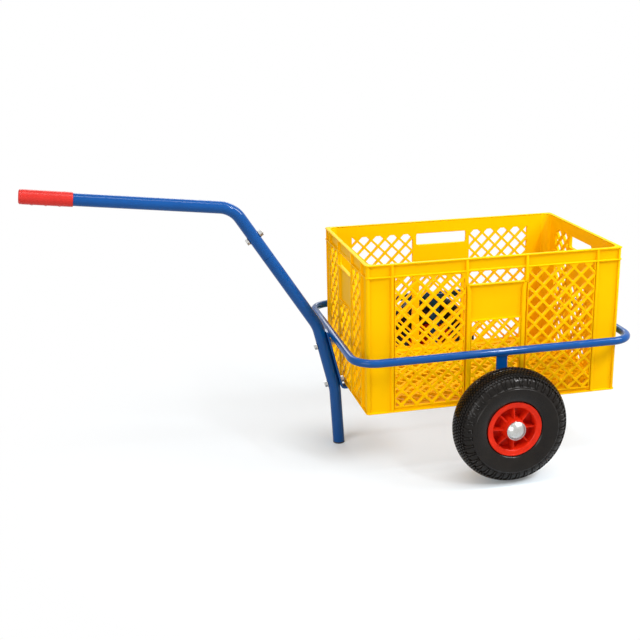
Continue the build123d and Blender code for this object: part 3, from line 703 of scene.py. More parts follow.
def weld_plan():
    """A row of overlapping drops of uneven size along a route, as a weld leaves them."""
    plan = Plan("weld_bead", drop="Float", step="Float")
    path = plan.add("MeshToCurve", {"Mesh": plan.given["Base"]})
    path = {"Curve": path, "Length": plan.given["step"]}
    path = plan.add("ResampleCurve", path, mode="LENGTH")
    drop = {"Radius": plan.given["drop"], "Subdivisions": WELD_DROP_STEPS}
    drop = plan.add("MeshIcoSphere", drop)
    uneven = {2: WELD_UNEVEN[0], 3: WELD_UNEVEN[1], "Seed": WELD_SEED}
    size = plan.add("FunctionNodeRandomValue", uneven, out=1, data_type="FLOAT")
    return plan.finish(plan.copies(path, drop, Scale=size))


TUBE = bent_plan("bent_tube", True)
BAR = bent_plan("bent_flat_bar", False)
PIERCE = pierce_plan()
TURN = turned_plan()
PLACE = placed_plan()
WELD = weld_plan()


# Finishes
class Effect(Wiring):
    """A shader node group that reads a place and a lump size, and has one output."""

    def __init__(self, name, output, kind, **inputs):
        super().__init__(bpy.data.node_groups.new(name, "ShaderNodeTree"))
        self.name_sockets({"place": "Vector", "size": "Float", **inputs}, {output: kind})

    def cloud(self, detail, roughness):
        scale = self.math("DIVIDE", 1.0, self.given["size"])
        noise = {"Vector": self.given["place"], "Scale": scale, "Detail": detail, "Roughness": roughness}
        return self.add("TexNoise", noise)

    def spread(self, cloud, **ends):
        """A cloud's middle range drawn out from end to end."""
        reach = {"Value": cloud, "From Min": CLOUD_LOW, "From Max": CLOUD_HIGH}
        return self.add("MapRange", {**reach, **ends})

    def finish(self, value):
        self.feed(self.result[0], value)
        return self.tree


def grain_effect():
    """Fine uneven skin: heights for a bump."""
    effect = Effect("skin_grain", "height", "Float")
    return effect.finish(effect.cloud(*GRAIN_NOISE))


def mottle_effect():
    """Two shades of one colour that run into each other, as in a moulding or a coat of paint."""
    effect = Effect("colour_mottle", "colour", "Color", light="Color", dark="Color")
    share = effect.spread(effect.cloud(*MOTTLE_NOISE))
    return effect.finish(effect.blend(share, effect.given["dark"], effect.given["light"]))


def handling_effect():
    """Gloss that differs from place to place where hands and dust have been."""
    effect = Effect("uneven_gloss", "roughness", "Float", smooth="Float", dull="Float")
    ends = {"To Min": effect.given["smooth"], "To Max": effect.given["dull"]}
    return effect.finish(effect.spread(effect.cloud(*GLOSS_NOISE), **ends))


GRAIN = grain_effect()
MOTTLE = mottle_effect()
GLOSS = handling_effect()


class Finish(Wiring):
    """A material of its own, on a Principled shader."""

    def __init__(self, name):
        self.material = bpy.data.materials.new(name)
        self.material.use_nodes = True
        super().__init__(self.material.node_tree)
        self.shader = self.tree.nodes["Principled BSDF"]
        self.place = self.add("TexCoord", out="Object")

    def effect(self, tree, **inputs):
        return self.add("Group", {"place": self.place, **inputs}, node_tree=tree)

    def set(self, **values):
        for label, value in values.items():
            self.feed(self.shader.inputs[label.replace("_", " ").title().replace("Ior", "IOR")], value)


def rgb(red, green, blue):
    return (red, green, blue, 1.0)


def coated(name, light, dark, lumps, gloss, grain, **more):
    """Two shades and the size of their lumps, the range of roughness, and the skin's size and depth."""
    finish = Finish(name)
    skin = {"Height": finish.effect(GRAIN, size=grain[0]), "Distance": grain[1], "Strength": 1.0}
    finish.set(
        base_color=finish.effect(MOTTLE, light=rgb(*light), dark=rgb(*dark), size=lumps),
        roughness=finish.effect(GLOSS, size=GLOSS_PATCH, smooth=gloss[0], dull=gloss[1]),
        normal=finish.add("Bump", skin), **more)
    return finish.material


BLUE = coated(
    "blue_powder_coat", (0.0014, 0.074, 0.31), (0.001, 0.065, 0.275), 60 * MM,
    (0.08, 0.11), (9 * MM, 0.003 * MM), ior=1.5, specular_ior_level=0.22)
YELLOW = coated(
    "yellow_moulding", (0.955, 0.55, 0.0006), (0.94, 0.525, 0.0005), 90 * MM,
    (0.36, 0.48), (0.9 * MM, 0.02 * MM), ior=1.49, specular_ior_level=0.03)
RIM_RED = coated(
    "rim_red_moulding", (0.78, 0.027, 0.005), (0.62, 0.016, 0.004), 18 * MM,
    (0.26, 0.36), (1.1 * MM, 0.02 * MM), ior=1.49, specular_ior_level=0.16)
GRIP_RED = coated(
    "grip_red_sleeve", (0.6, 0.026, 0.02), (0.54, 0.021, 0.016), 30 * MM,
    (0.3, 0.4), (1.2 * MM, 0.012 * MM), ior=1.48, specular_ior_level=0.3)
RUBBER = coated(
    "tyre_rubber", (0.0105, 0.0083, 0.0066), (0.006, 0.0047, 0.0039), 22 * MM,
    (0.18, 0.28), (0.8 * MM, 0.03 * MM), ior=1.5, specular_ior_level=0.2)
PLUG_BLACK = coated(
    "foot_plug_plastic", (0.022, 0.022, 0.023), (0.014, 0.014, 0.015), 8 * MM,
    (0.45, 0.6), (0.8 * MM, 0.04 * MM), ior=1.48, specular_ior_level=0.3)
NYLON = coated(
    "cage_nylon", (0.62, 0.60, 0.52), (0.55, 0.53, 0.45), 8 * MM,
    (0.45, 0.55), (0.6 * MM, 0.02 * MM), ior=1.53)
ZINC = coated(
    "bright_zinc", (0.56, 0.555, 0.535), (0.47, 0.47, 0.455), 5 * MM,
    (0.24, 0.36), (0.9 * MM, 0.012 * MM), metallic=1.0)
STEEL = coated(
    "ground_steel", (0.54, 0.54, 0.54), (0.45, 0.45, 0.45), 4 * MM,
    (0.24, 0.36), (0.5 * MM, 0.01 * MM), metallic=1.0)


# Ring and straps
def tube(points, bends, radius, finish, closed=False, sides=TUBE_SIDES):
    return grow(
        TUBE, route(points, bends, closed), material=finish, width=2 * radius,
        across=Z_WAY if closed else Y_WAY, bend_steps=TUBE_BEND_STEPS, sides=sides)


def flat_bar(points, bends, width, thickness, across, finish, edge=STRAP_EDGE):
    return grow(
        BAR, route(points, bends), material=finish, width=width, thickness=thickness, edge=edge,
        across=across, bend_steps=STRAP_BEND_STEPS, sides=STRAP_EDGE_STEPS)


def painted(name, meshes, *nodes):
    """A piece of the blue frame."""
    piece(name, meshes, "frame", BLUE, nodes)


def make_ring():
    path = [(RING_FRONT, -RING_SIDE, RING_Z), (RING_REAR, -RING_SIDE, RING_Z)]
    path += [(x, -y, z) for x, y, z in reversed(path)]
    ring = tube(path, [RING_BEND] * len(path), RING_RADIUS, BLUE, closed=True)
    painted("ring_tube_bent", [ring], "ring_tube")


RING_BAR = Vector((RING_FRONT, 0, RING_Z))
STRAP_LINE = along(RING_BAR, TOWARDS_FRONT, RING_RADIUS + STRAP_THICKNESS / 2)
LEG_LINE = along(RING_BAR, TOWARDS_FRONT, RING_RADIUS + STRAP_THICKNESS + BAR_RADIUS)


def make_straps():
    x, y, low, high = AXLE.x, RING_SIDE, STRAP_MIDDLE, RING_Z - RING_RADIUS / 2
    half = STRAP_WIDTH / 2
    corner, top = [at_height(STRAP_LINE, LEG_ANGLE, z) for z in (low, RING_Z + STRAP_ABOVE_RING)]
    straps = {
        "cross_strap_bent": (
            "cross_strap", X_WAY, [(x, -y, high), (x, -y, low), (x, y, low), (x, y, high)]),
        "front_keel_strap": ("keel_strap_front", Y_WAY, [(x - half, 0, low), corner, top]),
        "rear_keel_strap": (
            "keel_strap_rear", Y_WAY, [(x + half, 0, low), (RING_REAR, 0, low), (RING_REAR, 0, high)]),
    }
    for name, (node, across, path) in straps.items():
        bends = [0.0] + [STRAP_BEND] * (len(path) - 2) + [0.0]
        painted(name, [flat_bar(path, bends, STRAP_WIDTH, STRAP_THICKNESS, across, BLUE)], node)


def make_welds():
    """Painted weld beads wherever a strap meets the ring, the axle or another strap."""
    half, thin = STRAP_WIDTH / 2, STRAP_THICKNESS / 2
    under_ring = RING_Z - math.sqrt(RING_RADIUS**2 - thin**2)
    bottom = STRAP_MIDDLE - thin
    lines = []

    def bead_across(x, z, y=0.0):
        lines.append([(x, y - half, z), (x, y + half, z)])

    for sign in SIGNS:
        for y in (-RING_SIDE + sign * thin, RING_SIDE + sign * thin):
            lines.append([(AXLE.x - half, y, under_ring), (AXLE.x + half, y, under_ring)])
        bead_across(RING_REAR + sign * thin, under_ring)
        valley = along(RING_BAR, TOWARDS_FRONT, RING_RADIUS - RING_WELD_SUNK)
        valley = along(valley, LEG_ANGLE, sign * RING_WELD_APART)
        bead_across(valley.x, valley.z)
        bead_across(AXLE.x + sign * half, bottom)
        for y in AXLE_WELDS:
            bead_across(AXLE.x + sign * AXLE_WELD_OUT, bottom - AXLE_WELD_DROP, y)
    points = [point for line in lines for point in line]
    base = mesh_of("weld_lines", points, edges=[(2 * i, 2 * i + 1) for i in range(len(lines))])
    painted("strap_welds", [grow(WELD, base, drop=WELD_DROP, step=WELD_STEP, material=BLUE)])


# Drawbar
LEG_BEND = at_height(LEG_LINE, LEG_ANGLE, RING_Z + LEG_BEND_LIFT)
FOOT_BEND = at_height(LEG_LINE, LEG_ANGLE, STRAP_MIDDLE - FOOT_BEND_DROP)
FOOT_POINT = at_height(FOOT_BEND, FOOT_ANGLE, 0)
SEAM = along(LEG_BEND, SLOPE_ANGLE, SEAM_ALONG)
HANDLE_TANGENT = HANDLE_BEND_RADIUS * math.tan(math.radians(HANDLE_ANGLE - SLOPE_ANGLE) / 2)
HANDLE_BEND = along(SEAM, SLOPE_ANGLE, SPIGOT_TO_BEND + HANDLE_TANGENT)
HANDLE_END = along(HANDLE_BEND, HANDLE_ANGLE, HANDLE_LENGTH)


def make_drawbar():
    """The leg with its end cut level above the foot plug, the spigot in the seam, and the handle."""
    foot = at_height(FOOT_BEND, FOOT_ANGLE, PLUG_FLANGE)
    bends = [0.0, LEG_BEND_RADIUS, LEG_BEND_RADIUS, 0.0]
    leg = tube([SEAM, LEG_BEND, FOOT_BEND, foot], bends, BAR_RADIUS, BLUE)
    for vertex in leg.vertices:
        if vertex.co.z < PLUG_FLANGE + LEG_END_REACH:
            vertex.co.x += (vertex.co.z - PLUG_FLANGE) * FOOT_LEAN
            vertex.co.z = PLUG_FLANGE
    spigot = tube([along(SEAM, SLOPE_ANGLE, end) for end in SPIGOT_ENDS], None, SPIGOT_RADIUS, BLUE)
    painted("drawbar_leg", [leg, spigot], "drawbar_lower")
    path = [along(SEAM, SLOPE_ANGLE, SEAM_GAP), HANDLE_BEND, HANDLE_END]
    handle = tube(path, [0.0, HANDLE_BEND_RADIUS, 0.0], BAR_RADIUS, BLUE)
    painted("drawbar_handle", [handle], "drawbar_upper")


def grip_rise(angle, y, r):
    """How far the grip's skin stands out for its finger bumps, which are on the underside."""
    if r < GRIP_SKIN:
        return 0.0
    away = abs(angle % (2 * math.pi) - math.pi) * GRIP_RADIUS / GRIP_BUMP_STRETCH
    gaps = [math.hypot(away, y - GRIP_LENGTH / 2 - bump) / GRIP_BUMP_RADIUS for bump in GRIP_BUMPS]
    return sum(GRIP_BUMP_HEIGHT * max(0.0, 1 - gap * gap) ** GRIP_BUMP_POWER for gap in gaps)


def make_grip():
    length, radius, groove = GRIP_LENGTH, GRIP_RADIUS, GRIP_LENGTH - GRIP_RING_LENGTH
    outline = [
        (BAR_RADIUS, 0), (radius, 0), (radius, groove - GRIP_GROOVE_HALF),
        (radius - GRIP_GROOVE_DEPTH, groove), (radius, groove + GRIP_GROOVE_HALF),
        (radius, length - GRIP_END_EDGE), (radius - GRIP_END_EDGE, length),
        (0, length), (0, length - GRIP_END), (BAR_RADIUS, length - GRIP_END),
    ]
    outline = [Vector(point) for point in rounded(outline, GRIP_EDGE, GRIP_EDGE_STEPS)]
    fine = []
    for here, onward in zip(outline, outline[1:] + outline[:1]):
        steps = int(abs(onward.y - here.y) / GRIP_STEP) if here.x > GRIP_SKIN else 0
        fine += [tuple(here.lerp(onward, k / (steps + 1))) for k in range(steps + 1)]
    sleeve = lathe("grip", fine, GRIP_SEGMENTS, grip_rise)
    turn = Vector(Y_WAY).rotation_difference(way_at(HANDLE_ANGLE)).to_matrix().to_4x4()
    sleeve = shifted(moved(sleeve, turn), along(HANDLE_END, HANDLE_ANGLE, GRIP_END - GRIP_LENGTH))
    piece("grip_sleeve", [sleeve], "frame", GRIP_RED, ["grip"])


def stood(mesh):
    """Turns a shape from the Y axis to the Z axis."""
    return moved(mesh, Matrix.Rotation(math.pi / 2, 4, "X"))


def make_foot_plug():
    outline = [
        (0, 0), (BAR_RADIUS - PLUG_INSET, 0), (BAR_RADIUS, PLUG_CHAMFER), (BAR_RADIUS, PLUG_FLANGE),
        (0, PLUG_FLANGE),
    ]
    plug = shifted(stood(lathe("plug", rounded(outline, PLUG_EDGE), PLUG_SEGMENTS)), FOOT_POINT)
    for vertex in plug.vertices:
        vertex.co.x -= vertex.co.z * FOOT_LEAN
    piece("foot_plug_cap", [plug], "frame", PLUG_BLACK, ["foot_plug"])


# Bolts
def hex_block(name, height, bore):
    """A hexagon with a turned chamfer on its upper face, standing on the XY plane."""
    loops = []
    for s in range(HEX_SEGMENTS):
        angle = 2 * math.pi * s / HEX_SEGMENTS
        reach = HEX_HALF / math.cos((angle + math.pi / 6) % (math.pi / 3) - math.pi / 6)
        drop = max(0.0, reach - HEX_CHAMFER) * HEX_CHAMFER_SLOPE
        outline = ((bore, 0), (reach, 0), (reach, height - drop), (HEX_CHAMFER, height), (bore, height))
        loops.append([(r * math.cos(angle), r * math.sin(angle), z) for r, z in outline])
    return tidied(mesh_of(name, *quads(loops)))


def thread_end():
    radius, length = BOLT_RADIUS, THREAD_LENGTH
    outline = [(0, 0), (radius, 0)]
    for turn in range(int(length / THREAD_PITCH)):
        foot = turn * THREAD_PITCH
        outline += [(radius, foot + THREAD_CREST), (radius - THREAD_DEPTH, foot + THREAD_ROOT)]
    outline += [(radius, length - THREAD_POINT[1]), (radius - THREAD_POINT[0], length), (0, length)]
    return stood(lathe("thread", outline, THREAD_SEGMENTS))


def washer():
    r, t = WASHER_RADIUS, WASHER_THICKNESS
    outline = rounded([(BOLT_RADIUS, 0), (r, 0), (r, t), (BOLT_RADIUS, t)], WASHER_EDGE)
    return stood(lathe("washer", outline, WASHER_SEGMENTS))


def set_in_place(item, spots):
    """An item at each spot, which is a place and the way that the item stands up."""
    base = mesh_of("spots", [place for place, way in spots])
    towards = base.attributes.new("towards", "FLOAT_VECTOR", "POINT")
    towards.data.foreach_set("vector", [value for place, way in spots for value in way])
    holder = thing_of("item", item)
    mesh = grow(PLACE, base, item=holder, material=ZINC)
    bpy.data.objects.remove(holder)
    return mesh


def make_bolts(kind, many, lines, nut_seat):
    """Bolts, washers and nuts; each line is where a bolt crosses the tube and the way to its head."""
    heads, nuts, washers = [], [], []
    for place, way in lines:
        top, bottom = place + way * BAR_RADIUS, place - way * nut_seat
        heads.append((top + way * WASHER_THICKNESS, way))
        washers += [(top, way), (bottom, -way)]
        nuts.append((bottom - way * WASHER_THICKNESS, -way))
    head = set_in_place(hex_block("head", HEAD_HEIGHT, 0.0), heads)
    end = set_in_place(thread_end(), nuts)
    ring = set_in_place(washer(), washers)
    nut = set_in_place(hex_block("nut", NUT_HEIGHT, BOLT_RADIUS), nuts)
    pieces = (
        ("bolt_heads", [head, end], f"bolt{many}"), ("washer_rings", [ring], "washers"),
        ("hex_nuts", [nut], f"nut{many}"))
    for name, shapes, node in pieces:
        piece(f"{kind}_{name}", shapes, "frame", ZINC, [f"{kind}_{node}"], SMOOTH_BOLTS)


def make_all_bolts():
    place = along(SEAM, SLOPE_ANGLE, JOINT_BOLT_ALONG)
    make_bolts("joint", "", [(place, way_at(SLOPE_ANGLE + 90))], BAR_RADIUS)
    heights = (STRAP_MIDDLE + LEG_BOLT_LIFT, RING_Z - LEG_BOLT_DROP)
    lines = [(at_height(LEG_LINE, LEG_ANGLE, height), way_at(TOWARDS_FRONT)) for height in heights]
    make_bolts("leg", "s", lines, BAR_RADIUS + STRAP_THICKNESS)


# Crate; a wall is laid flat, across and up, with its inside on the XY plane
def soft_bar(points, width, thickness, across, bends=None):
    return flat_bar(points, bends, width, thickness, across, YELLOW, SOFT_EDGE)


def widened(limits, by):
    left, right, bottom, top = limits
    return (left - by, right + by, bottom - by, top + by)


def cut(plate, first, limits, depth, columns=1, rows=1, **shape):
    """Cuts rows of openings through a plate: the first one's middle, and the sides they keep inside."""
    sides = dict(zip(("left", "right", "bottom", "top"), limits))
    return grow(
        PIERCE, plate, columns=columns, rows=rows, depth=depth, pitch=LATTICE_PITCH,
        first_x=first[0], first_y=first[1], material=YELLOW, **sides, **shape)


def pierced(plate, first, limits, depth, columns, rows, strip):
    """Cuts rows of diamonds with strips of this width between them."""
    side = LATTICE_PITCH / 2 * math.sqrt(2) - strip
    return cut(
        plate, first, limits, depth, columns, rows, opening=side, height=side, turn=math.pi / 4,
        corner=LATTICE_CORNER, flare=LATTICE_FLARE)


def cut_out(plate, limits, corner, flare):
    """Cuts one rectangular opening with rounded corners."""
    left, right, bottom, top = limits
    centre = ((left + right) / 2, (bottom + top) / 2)
    return cut(
        plate, centre, widened(limits, CUT_MARGIN), LATTICE_DEPTH, opening=right - left,
        height=top - bottom, turn=0.0, corner=corner, flare=flare)


def lattice_panel(limits, first, columns):
    """A thick panel with rows of diamonds; the first one's middle and how many stand in a row."""
    left, right, bottom, top = widened(limits, LATTICE_BORDER)
    panel = block("panel", (left, bottom, LATTICE_LIFT), (right, top, LATTICE_DEPTH))
    rows = math.ceil((first[1] - limits[2]) / LATTICE_PITCH * 2) + 1
    return pierced(panel, first, limits, LATTICE_DEPTH, columns, rows, LATTICE_STRIP)


def wall_plates(half_length, middle_rib, outer_rib):
    """The wall with its lattice panels and its hand hole."""
    top, pitch = HAND_HOLE_TOP, LATTICE_PITCH
    inner, outer = middle_rib + PANEL_MARGIN, outer_rib - PANEL_EDGE
    columns = math.ceil((outer - inner) / pitch) + LATTICE_SPARE
    row = top - pitch / 4
    hole = middle_rib - PANEL_MARGIN
    label = hole - LABEL_SIDE
    label_foot = HAND_HOLE_FOOT - LABEL_HEIGHT
    label_columns = 2 * math.ceil(label / pitch) + LATTICE_SPARE
    label_first = (pitch / 2 - label_columns // 2 * pitch, label_foot)
    panels = [
        ((inner, outer, BASE_BAND, top), (inner - pitch / 2, row), columns),
        ((-outer, -inner, BASE_BAND, top), (pitch / 2 - inner - columns * pitch, row), columns),
        ((-label, label, BASE_BAND, label_foot), label_first, label_columns),
    ]
    plate = block("wall", (-half_length, WALL_FOOT, 0), (half_length, WALL_HEAD, WALL))
    for panel in panels:
        plate = cut_out(plate, widened(panel[0], LATTICE_BORDER / 2), PANEL_CORNER, 0.0)
    plate = cut_out(plate, (-hole, hole, HAND_HOLE_FOOT, top), HAND_HOLE_CORNER, HAND_HOLE_FLARE)
    return [lattice_panel(*panel) for panel in panels] + [plate]


def jogged_rib(place, sign):
    """A middle rib: wide at the foot, then a soft step outwards beside the hand hole."""
    ledge = HAND_HOLE_FOOT
    left, right = [], []
    for height in [WALL_FOOT, JOG_FOOT * ledge] + [ledge + step for step in JOG_STEPS] + [RIB_HEAD]:
        share = min(1.0, max(0.0, (height - ledge + JOG_DROP) / JOG_RISE))
        share = share * share * (3 - 2 * share)
        centre = place - JOG * (1 - share)
        half = JOG_HALVES[0] * (1 - share) + JOG_HALVES[1] * share
        left.append((sign * (centre - half), height))
        right.append((sign * (centre + half), height))
    return slab("rib", left + right[::-1], RIB_BACK, RIB_FACE, SOFT_EDGE)


def wall_ribs(middle_rib, outer_rib):
    """The wall's upright ribs, and the ledge and the round edge of its hand hole."""
    centre, depth = (RIB_BACK + RIB_FACE) / 2, RIB_FACE - RIB_BACK
    shapes = []
    for sign in SIGNS:
        shapes.append(jogged_rib(middle_rib, sign))
        path = [(sign * outer_rib, height, centre) for height in (WALL_FOOT, RIB_HEAD)]
        shapes.append(soft_bar(path, RIB, depth, X_WAY))
    ledge = [(sign * middle_rib, HAND_HOLE_FOOT - FLANGE / 2, centre) for sign in SIGNS]
    edge = [(sign * middle_rib, HAND_HOLE_TOP + HAND_HOLE_BEAD_LIFT, WALL) for sign in SIGNS]
    shapes.append(soft_bar(ledge, FLANGE, depth, Y_WAY))
    shapes.append(tube(edge, None, HAND_HOLE_BEAD, YELLOW, sides=HAND_HOLE_BEAD_SIDES))
    return shapes


CRATE_CORNERS = [(sx, sy) for sx in SIGNS for sy in SIGNS]


def make_corner_posts():
    embed, edge = WALL_INSIDE - WALL / 2, POST_WIDTH
    near, far = CRATE_CORNER + POST_SETBACK, WALL_INSIDE + CRATE_INNER_CORNER
    outer = quarter_arc(near, near, CRATE_CORNER, 2)
    hollow = quarter_arc(far, far, CRATE_INNER_CORNER, 2)[::-1]
    local = [(embed, far), (embed, edge)] + outer + [(edge, embed), (far, embed)] + hollow
    shapes = []
    for sx, sy in CRATE_CORNERS:
        outline = [(sx * (CRATE_HALF[0] - x), sy * (CRATE_HALF[1] - y)) for x, y in local]
        shapes.append(slab("post", outline, WALL_FOOT, WALL_HEAD, POST_EDGE))
    return shapes


def make_flanges():
    outer = rectangle(*CRATE_HALF, CRATE_CORNER)
    inner = rectangle(*INNER_HALF, CRATE_INNER_CORNER)
    levels = {"rim": CRATE_HEIGHT - FLANGE, "base": 0.0}
    shapes = [frame_slab(name, outer, inner, low, low + FLANGE) for name, low in levels.items()]
    z, inset = HAND_HOLE_TOP + FLANGE / 2, FLANGE_DEPTH / 2
    x, y = CRATE_HALF[0] - inset, CRATE_HALF[1] - inset
    path = [(CRATE_RIBS[0][0], y), (x, y), (x, CRATE_RIBS[1][0])]
    bends = [0.0, CRATE_CORNER - inset, 0.0]
    for sx, sy in CRATE_CORNERS:
        corner = [(sx * a, sy * b, z) for a, b in path]
        shapes.append(soft_bar(corner, FLANGE, FLANGE_DEPTH, Z_WAY, bends))
    return shapes


def make_crate_floor():
    x, y = [half + FLOOR_LAP for half in INNER_HALF]
    plate = block("crate_floor", (-x, -y, 0), (x, y, FLOOR_DEPTH - FLOOR_LIFT))
    x, y = [half - FLOOR_BORDER for half in CRATE_HALF]
    columns = math.ceil(2 * x / LATTICE_PITCH) + LATTICE_SPARE
    rows = math.ceil(2 * y / LATTICE_PITCH * 2) + LATTICE_SPARE
    first = (-(columns - 1) / 2 * LATTICE_PITCH, (rows - 1) / 4 * LATTICE_PITCH)
    plate = pierced(plate, first, (-x, x, -y, y), FLOOR_DEPTH, columns, rows, FLOOR_STRIP)
    return shifted(plate, (0, 0, FLOOR_LIFT))


def make_crate():
    shapes = make_corner_posts() + make_flanges() + [make_crate_floor()]
    for quarter, ribs in enumerate(CRATE_RIBS):
        half_length, half_width = CRATE_HALF[quarter], CRATE_HALF[1 - quarter]
        wall = wall_plates(half_length - POST_WIDTH + POST_LAP, *ribs) + wall_ribs(*ribs)
        wall = [shifted(stood(shape), (0, WALL_INSIDE - half_width, 0)) for shape in wall]
        for turn in (quarter, quarter + 2):
            turned = Matrix.Rotation(turn * math.pi / 2, 4, "Z")
            shapes += [moved(shape.copy(), turned) for shape in wall]
    shapes = [shifted(shape, CRATE_FOOT) for shape in shapes]
    piece("crate_moulding", shapes, "crate", YELLOW, ["crate"])


# Wheels
def tyre_side():
    """Half of the tyre's outline, as (radius, along): the tread from its middle, and the side wall."""
    shoulder, flank = TYRE_SHOULDER, (TYRE_BULGE + TYRE_FLANK, TYRE_HALF - TYRE_FLANK)
    between = [(a + b) / 2 + TYRE_FLANK for a, b in zip(flank, shoulder)]
    crown = arc((shoulder[0], -shoulder[1]), (TYRE_RADIUS, 0), shoulder, CROWN_STEPS)[CROWN_STEPS // 2:]
    tread = crown + arc(shoulder, between, flank, FLANK_STEPS)
    bow = ((TYRE_LIP + TYRE_BULGE) / 2, TYRE_BOW)
    wall = arc((TYRE_BULGE, TYRE_HALF), bow, TYRE_MOUTH, WALL_STEPS)
    return tread, [flank] + wall + [TYRE_MOUTH] + TYRE_GROOVE


class Tread:
    """Places on the tyre's outer skin: distance from the crown's middle and height above it."""

    def __init__(self, points):
        self.points = [Vector(point) for point in points]
        self.runs = [0.0]
        for a, b in zip(self.points, self.points[1:]):
            self.runs.append(self.runs[-1] + (b - a).length)
        self.length = self.runs[-1]

    def at(self, distance, height):
        away = min(abs(distance), self.length - SAME_POINT)
        i = next(k for k in range(len(self.runs) - 1) if away <= self.runs[k + 1])
        a, b = self.points[i], self.points[i + 1]
        share = (away - self.runs[i]) / (self.runs[i + 1] - self.runs[i])
        way = (b - a).normalized()
        spot = a.lerp(b, share) + Vector((way.y, -way.x)) * height
        return spot.x, math.copysign(spot.y, distance)


class Stud:
    """What a block or rib stands on; each end is a middle, a half width and a place across."""

    def __init__(self, tread, near, far, chamfer):
        self.tread = tread
        corners = [(mid + sign * half, y) for mid, half, y in (near, far) for sign in SIGNS]
        self.corners = [Vector(corner) for corner in corners]
        first, wide, deep = self.corners[:3]
        self.u = chamfer / (wide - first).length
        self.v = chamfer / (deep - first).length

    def at(self, u, v, height):
        """The point that lies u of the way across the ends and v of the way between them."""
        a, b, c, d = self.corners
        spot = a.lerp(b, u).lerp(c.lerp(d, u), v)
        return about_axle(*self.tread.at(spot.y, height), spot.x / TYRE_RADIUS)


def crown_block(tread, near, far):
    """One block of the crown: its sides lean in to a smaller top."""
    stud = Stud(tread, near, far, CROWN_BLOCK_CHAMFER)
    loops = []
    for u, v, height in ((0.0, 0.0, -TREAD_ROOT), (stud.u, stud.v, 0.0)):
        around = ((u, v), (1 - u, v), (1 - u, 1 - v), (u, 1 - v))
        loops.append([stud.at(*place, height) for place in around])
    return prism("crown_block", *loops)


def shoulder_rib(tread, near, far):
    """One rib of the shoulder, with a chamfer round its top."""
    stud = Stud(tread, near, far, SHOULDER_RIB_CHAMFER)
    top = SHOULDER_RIB_HEIGHT
    levels = (top - TREAD_ROOT, top - SHOULDER_RIB_DROP, top)
    us = [(0, 0), (0, 1), (stud.u, 2), (1 - stud.u, 2), (1, 1), (1, 0)]
    vs = [(0, 0), (0, 1), (stud.v, 2), (0.5, 2), (1 - stud.v, 2), (1, 1), (1, 0)]
    loops = [[stud.at(u, v, levels[min(a, b)]) for v, b in vs] for u, a in us]
    return tidied(mesh_of("shoulder_rib", *quads(loops, ring=False, closed=False)), fill=True)


def tyre_body(tread, side):
    """One pitch of the tyre without its blocks, open at both ends."""
    half = []
    for step in range(BODY_STEPS):
        share = step / BODY_STEPS
        rise = max(0.0, share - SHOULDER_FROM) / (1 - SHOULDER_FROM) * SHOULDER_RISE
        half.append(tread.at(share * tread.length, rise - TREAD_DEPTH))
    half += [tread.at(tread.length, -TREAD_END)] + side + BEAD_SEAT
    outline = half[::-1] + mirrored(half[1:])
    pitch = 2 * math.pi / TYRE_PITCHES
    angles = [pitch * (step / PITCH_STEPS - 0.5) for step in range(PITCH_STEPS + 1)]
    loops = [[about_axle(r, y, angle) for r, y in outline] for angle in angles]
    return mesh_of("tyre_body", *quads(loops, ring=False))


def tyre_pitch():
    """One pitch of the tyre: a wedge of its body with the blocks and ribs that stand on it."""
    points, side_wall = tyre_side()
    tread = Tread(points)
    shapes = [tyre_body(tread, side_wall)]
    length = 2 * math.pi / TYRE_PITCHES * TYRE_RADIUS
    step = length / CROWN_BLOCKS
    for side in SIGNS:
        shift = 0.0 if side > 0 else length / 2
        across = side * tread.length
        for lean in SIGNS:
            sizes = zip(SHOULDER_RIB_OUT, SHOULDER_RIB_HALVES, SHOULDER_RIB_SPAN)
            ends = [(lean * out + shift, half, share * across) for out, half, share in sizes]
            shapes.append(shoulder_rib(tread, *ends))
        for row in range(CROWN_ROWS):
            near, far = [(row + edge) / CROWN_ROWS * CROWN_SPAN * across for edge in CROWN_ROW_EDGES]
            skew = (1 if row % 2 else -1) * CROWN_BLOCK_SKEW * side
            half = step * CROWN_BLOCK_HALF
            for number in range(CROWN_BLOCKS):
                centre = (number + 0.5 * (row % 2)) * step + shift
                ends = (centre - skew, half, near), (centre + skew, half, far)
                shapes.append(crown_block(tread, *ends))
    return joined("tyre_pitch", shapes)


def make_tyres():
    whole = grow(TURN, tyre_pitch(), copies=TYRE_PITCHES, joined=TYRE_JOIN, material=RUBBER)
    for side in SIDES:
        node = f"tyre_{side}"
        tyre = tidied(shifted(whole.copy(), middle(node)))
        piece(f"tyre_tread_{side}", [tyre], f"wheel_{side}", RUBBER, [node], SMOOTH_WHEELS)


def make_rims():
    hub = [
        (HUB_BORE, HUB_HALF), (HUB_FACE, HUB_HALF),
        (HUB_FACE + HUB_CHAMFER[0], HUB_HALF - HUB_CHAMFER[1]),
        (HUB_ROOT, RIM_WEB), (RIM_INSIDE, RIM_WEB),
    ]
    half = hub + LIP_STEPS + [(LIP_INSIDE, RIM_HALF), (RIM_RADIUS, RIM_HALF)] + BEAD_SEAT
    outline = rounded(half + mirrored(half[::-1]), RIM_EDGE)
    body = lathe("rim_body", outline, RIM_SEGMENTS)
    rib_outline = mirrored(RIM_RIB_EDGE) + RIM_RIB_EDGE[::-1]
    rib = slab("rim_rib", rib_outline, -RIM_RIB_HALF, RIM_RIB_HALF, RIM_EDGE)
    rib = moved(rib, Matrix.Rotation(-math.pi / 2, 4, "Y"))
    ribs = grow(TURN, rib, copies=RIM_RIBS, joined=0.0, material=RIM_RED)
    for side in SIDES:
        node = f"rim_{side}"
        shapes = [shifted(shape.copy(), middle(node)) for shape in (body, ribs)]
        piece(f"rim_wheel_{side}", shapes, f"wheel_{side}", RIM_RED, [node])


